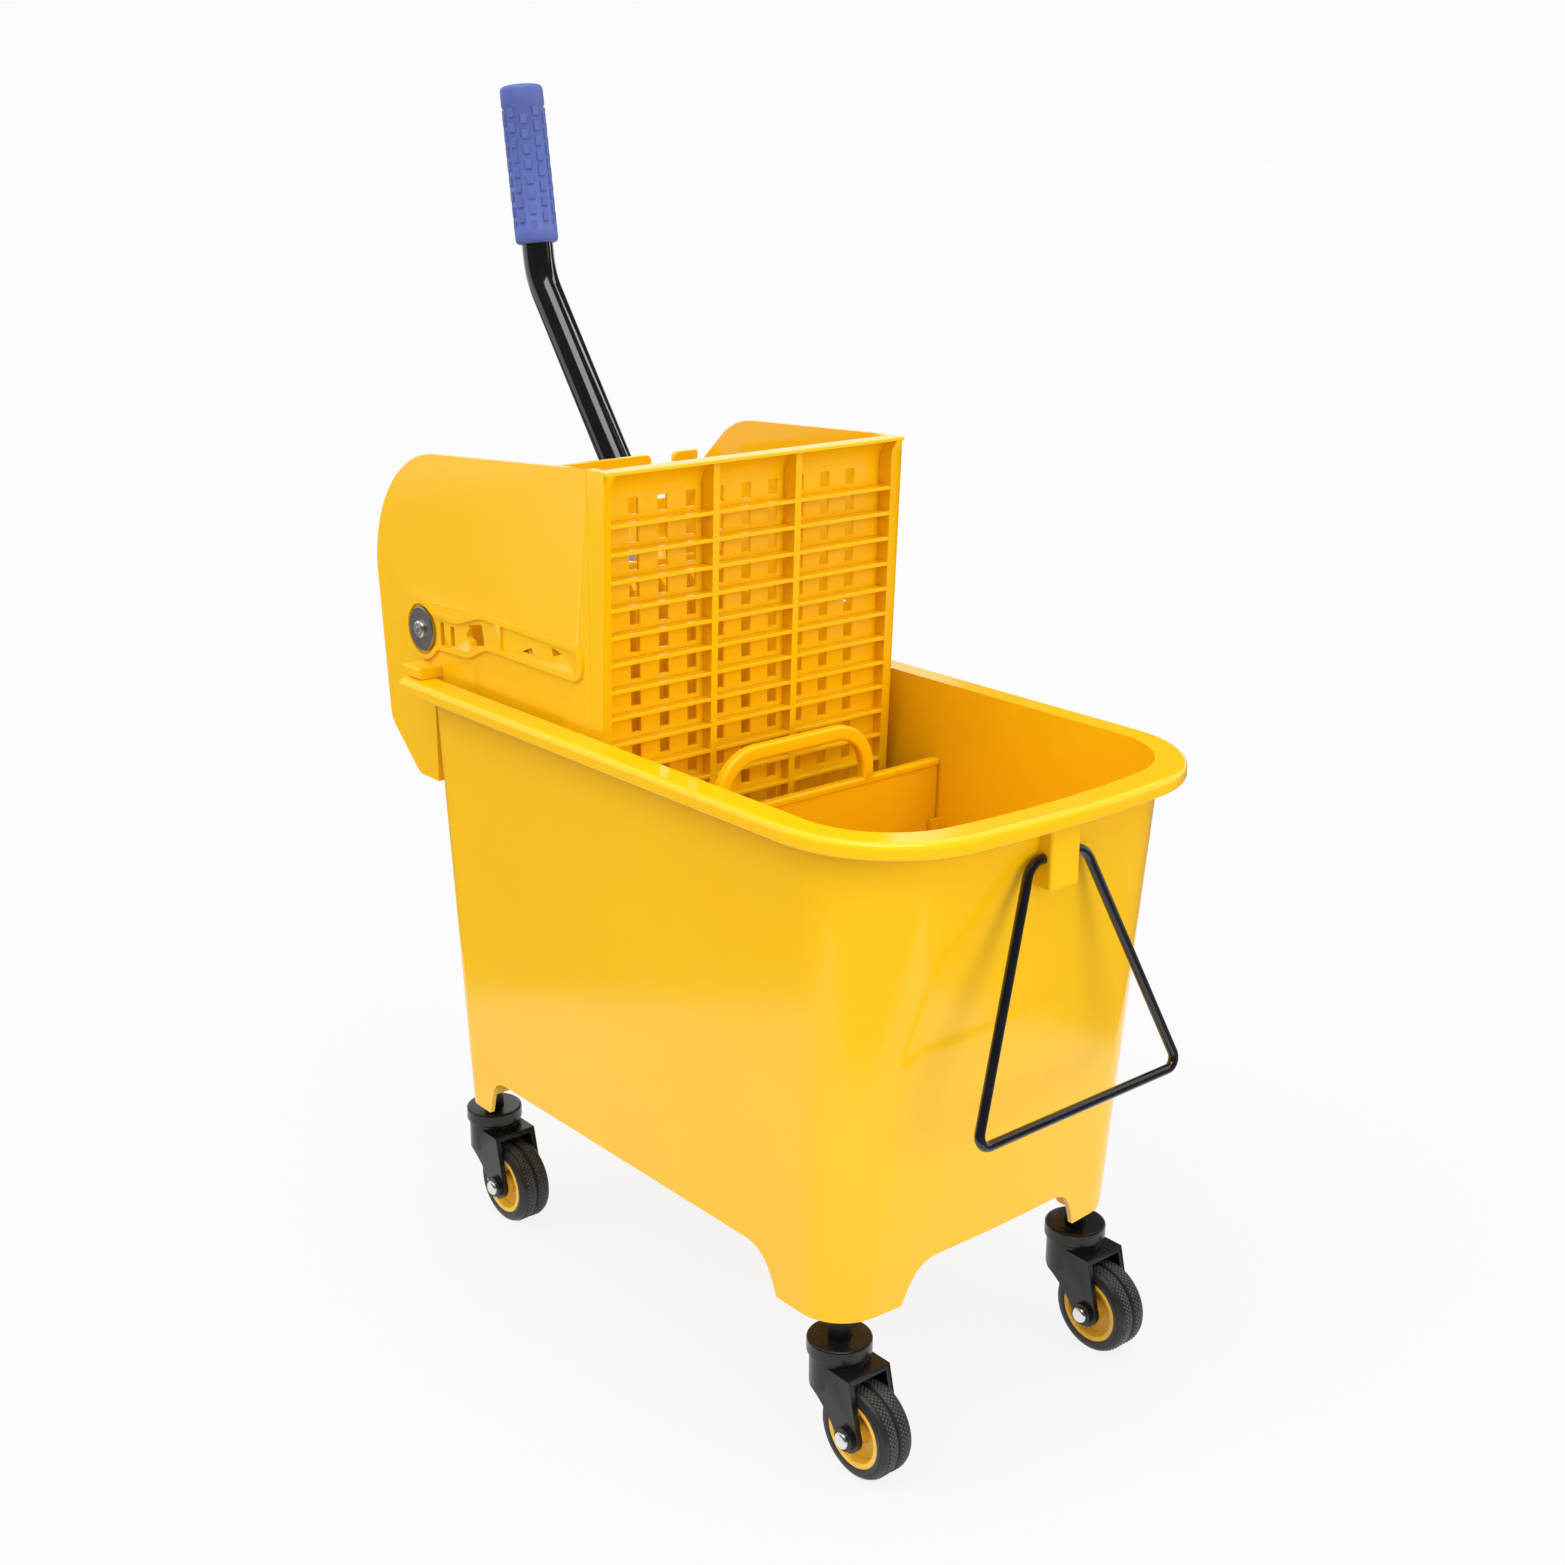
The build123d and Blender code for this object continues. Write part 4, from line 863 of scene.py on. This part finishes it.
class BUCKET_OT_mouldings(bpy.types.Operator):
    """Round the moulded edges of cheeks, divider, cross pieces, caps, forks and wheel centres"""

    bl_idname = "bucket.mouldings"
    bl_label = "Moulded edges"

    def execute(self, context):
        for node in (
                "wringer_side_left", "wringer_side_right", "divider", "wringer_rear_band", "wringer_saddle"):
            rounded_piece(node, PLATE_ROUND)
        for corner in CORNERS:
            rounded_piece(f"caster_cap_{corner}", CASTER_ROUND, segments=3)
            rounded_piece(f"caster_fork_{corner}", CASTER_ROUND, segments=3)
            rounded_piece(f"wheel_hub_{corner}", PLATE_ROUND)
        return {"FINISHED"}


class BUCKET_OT_stage(bpy.types.Operator):
    """Set up camera, floor, lamps and background"""

    bl_idname = "bucket.stage"
    bl_label = "Stage"

    def camera(self, context, stage):
        """Camera fitted to the photograph's point of view."""
        data = bpy.data.cameras.new("photo_camera")
        data.sensor_width = 36.0
        data.lens = stage.camera_lens
        camera = bpy.data.objects.new("photo_camera", data)
        right = Vector((0.64956, 0.76027, 0.00734))
        down = Vector((0.23796, -0.19412, -0.95168))
        forward = Vector((-0.72211, 0.61992, -0.30701))
        turn = Matrix((right, -down, -forward)).transposed()
        camera.matrix_world = Matrix.Translation(stage.camera_place) @ turn.to_4x4()
        context.scene.collection.objects.link(camera)
        context.scene.camera = camera

    def seen_white(self, tree):
        """One for rays from the camera, from gloss and through glass, and nothing for the light itself."""
        path = add_node(tree, "ShaderNodeLightPath")
        total = path.outputs["Is Camera Ray"]
        for name in ("Is Glossy Ray", "Is Transmission Ray"):
            total = add_node(tree, "ShaderNodeMath", {
                0: total, 1: path.outputs[name]}, operation="MAXIMUM").outputs[0]
        return total

    def sheet(self, context, name, corners, material, in_gloss_only=True):
        """Flat sheet of the stage; most of them show in gloss alone."""
        mesh = bpy.data.meshes.new(name)
        mesh.from_pydata(corners, [], [tuple(range(len(corners)))])
        mesh.materials.append(material)
        sheet = bpy.data.objects.new(name, mesh)
        context.scene.collection.objects.link(sheet)
        if in_gloss_only:
            sheet.visible_camera = False
            sheet.visible_diffuse = False
            sheet.visible_shadow = False
            sheet.visible_transmission = False

    def matt(self, name, tone):
        """Plain grey without gloss."""
        material, shader = new_material(name)
        shader.inputs["Base Color"].default_value = opaque((tone, tone, tone))
        shader.inputs["Roughness"].default_value = 0.9
        shader.inputs["Specular IOR Level"].default_value = 0.0
        return material

    def floor_material(self, stage):
        """Pale floor that reads as white and keeps a soft shadow."""
        material = self.matt("floor", stage.floor_tone)
        tree = material.node_tree
        glow = add_node(tree, "ShaderNodeEmission", {"Strength": 1.0})
        share = add_node(tree, "ShaderNodeMath", {
            0: self.seen_white(tree), 1: stage.floor_white}, operation="MULTIPLY")
        mix = add_node(tree, "ShaderNodeMixShader", {
            0: share.outputs[0], 1: tree.nodes["Principled BSDF"].outputs[0], 2: glow.outputs[0]})
        tree.links.new(mix.outputs[0], tree.nodes["Material Output"].inputs["Surface"])
        return material

    def softbox_material(self, stage):
        """Plain white glow."""
        material, shader = new_material("softbox")
        shader.inputs["Base Color"].default_value = (0.0, 0.0, 0.0, 1.0)
        shader.inputs["Emission Color"].default_value = (1.0, 1.0, 1.0, 1.0)
        shader.inputs["Emission Strength"].default_value = stage.softbox
        return material

    def lamp(self, context, name, strength, towards, softness):
        """Broad lamp from far off that doesn't show in gloss; its softness is in degrees."""
        data = bpy.data.lights.new(name, "SUN")
        data.energy = strength
        data.angle = math.radians(softness)
        lamp = bpy.data.objects.new(name, data)
        lamp.matrix_world = Vector(towards).to_track_quat("-Z", "Y").to_matrix().to_4x4()
        lamp.visible_glossy = False
        context.scene.collection.objects.link(lamp)

    def surroundings(self, context, stage):
        """White world for the eye and for gloss, with an even, weaker light for everything else."""
        world = bpy.data.worlds.new("studio")
        context.scene.world = world
        world.use_nodes = True
        tree = world.node_tree
        light = tree.nodes["Background"]
        light.inputs["Color"].default_value = (1.0, 1.0, 1.0, 1.0)
        light.inputs["Strength"].default_value = stage.sky
        white = add_node(tree, "ShaderNodeBackground", {
            "Color": (1.0, 1.0, 1.0, 1.0), "Strength": stage.backdrop})
        mix = add_node(tree, "ShaderNodeMixShader", {
            0: self.seen_white(tree), 1: light.outputs[0], 2: white.outputs[0]})
        tree.links.new(mix.outputs[0], tree.nodes["World Output"].inputs["Surface"])

    def spot(self, across, near, height):
        """Point of the stage, measured across the picture, towards the camera and up."""
        return ACROSS * across + NEAR * near + UP * height

    def ground(self, context, stage):
        """Floor, with grey cards on three sides of the part's place."""
        reach = 30.0
        self.sheet(context, "floor", [
            (-reach, -reach, 0.0), (reach, -reach, 0.0), (reach, reach, 0.0), (-reach, reach, 0.0)],
            self.floor_material(stage), in_gloss_only=False)
        grey = self.matt("grey_card", stage.card_tone)
        far, left, right, front = 3.0, -0.536, 0.52, 0.59
        above_floor = 0.0003
        cards = {
            "card_left": (-far, left, -far, front), "card_right": (right, far, -far, front),
            "card_near": (-far, far, front, far),
        }
        for name, (a0, a1, n0, n1) in cards.items():
            self.sheet(context, name, [self.spot(a, n, above_floor) for a, n in (
                (a0, n0), (a0, n1), (a1, n1), (a1, n0))], grey)

    def walls(self, context, dark):
        """Dark walls, and a dark roof over the near half of the stage."""
        height, room, start, over = 3.2, 3.4, 0.1, 6.0
        # Both ends of each wall, and how high its foot stands
        flags = {
            "flag_left": ((-room, start), (-room, room), 0.0),
            "flag_near": ((-room, room), (room, room), 0.0),
            "flag_right": ((room, room), (room, start), 0.0),
            "flag_back": ((0.4, -room), (room, -room), 0.9),
        }
        for name, (one, other, foot) in flags.items():
            self.sheet(context, name, [
                self.spot(*one, foot), self.spot(*other, foot), self.spot(*other, height),
                self.spot(*one, height)], dark)
        self.sheet(context, "flag_over", [self.spot(a, n, height) for a, n in (
            (-over, start), (-over, over), (over, over), (over, start))], dark)

    def boards(self, context, stage, dark):
        """Boards that face the lever: a dark one, and softboxes for the streaks on tube and rim."""
        glow = self.softbox_material(stage)
        lever = Vector((-0.29, 0.078, 0.53))
        # Direction from the lever, distance, half the width, half the height and material
        boards = {
            "flag_lever": ((0.16, 0.78, 0.6), 0.5, 0.24, 0.34, dark),
            "softbox_lever": ((0.2, 0.72, 0.66), 0.42, 0.03, 0.2, glow),
            "softbox_over": ((0.46, -0.25, 0.85), 2.6, 0.8, 0.42, glow),
            "softbox_rim": ((0.2, -0.42, 0.88), 2.5, 0.5, 0.45, glow),
        }
        for name, (bearing, away, half_wide, half_high, finish) in boards.items():
            out = Vector(bearing).normalized()
            side = out.cross(UP).normalized()
            up = side.cross(out)
            self.sheet(context, name, [
                lever + out * away + side * s * half_wide + up * u * half_high
                for s, u in ((-1, -1), (1, -1), (1, 1), (-1, 1))], finish)

    def execute(self, context):
        stage = settings("stage")
        self.camera(context, stage)
        context.scene.view_settings.view_transform = "Standard"
        self.surroundings(context, stage)
        self.ground(context, stage)
        dark = self.matt("dark_flag", stage.flag_tone)
        self.walls(context, dark)
        self.boards(context, stage, dark)
        right_gain = 1.3
        self.lamp(context, "left_lamp", stage.side_lamps, (0.3, 0.76, -0.62), 40.0)
        self.lamp(context, "right_lamp", stage.side_lamps * right_gain, (-0.94, -0.02, -0.28), 40.0)
        self.lamp(context, "top_lamp", stage.top_lamp, (-0.12, 0.1, -1.0), 80.0)
        return {"FINISHED"}


class BUCKET_PT_panel(bpy.types.Panel):
    """Sidebar panel with a button for each step"""

    bl_idname = "BUCKET_PT_panel"
    bl_label = "Mop bucket"
    bl_space_type = "VIEW_3D"
    bl_region_type = "UI"
    bl_category = "Mop bucket"

    def draw(self, context):
        for operator in OPERATORS:
            self.layout.operator(operator.bl_idname)


SETTINGS = {
    "finishes": FinishSettings, "grille": GrilleSettings, "tyre": TyreSettings, "grip": GripSettings,
    "stage": StageSettings,
}
OPERATORS = (
    BUCKET_OT_finish, BUCKET_OT_grille, BUCKET_OT_tyres, BUCKET_OT_grip, BUCKET_OT_mouldings, BUCKET_OT_stage)
CLASSES = (*SETTINGS.values(), *OPERATORS, BUCKET_PT_panel)


def register():
    """Add the classes and the scene's settings."""
    for cls in CLASSES:
        bpy.utils.register_class(cls)
    for name, group in SETTINGS.items():
        setattr(bpy.types.Scene, f"bucket_{name}", PointerProperty(type=group))


def unregister():
    """Take the scene's settings and the classes out again."""
    for name in SETTINGS:
        delattr(bpy.types.Scene, f"bucket_{name}")
    for cls in reversed(CLASSES):
        bpy.utils.unregister_class(cls)


def main():
    """Dress the part."""
    register()
    bpy.ops.bucket.finish()
    bpy.ops.bucket.grille()
    bpy.ops.bucket.tyres()
    bpy.ops.bucket.grip()
    bpy.ops.bucket.mouldings()
    bpy.ops.bucket.stage()


if __name__ == "__main__":
    main()
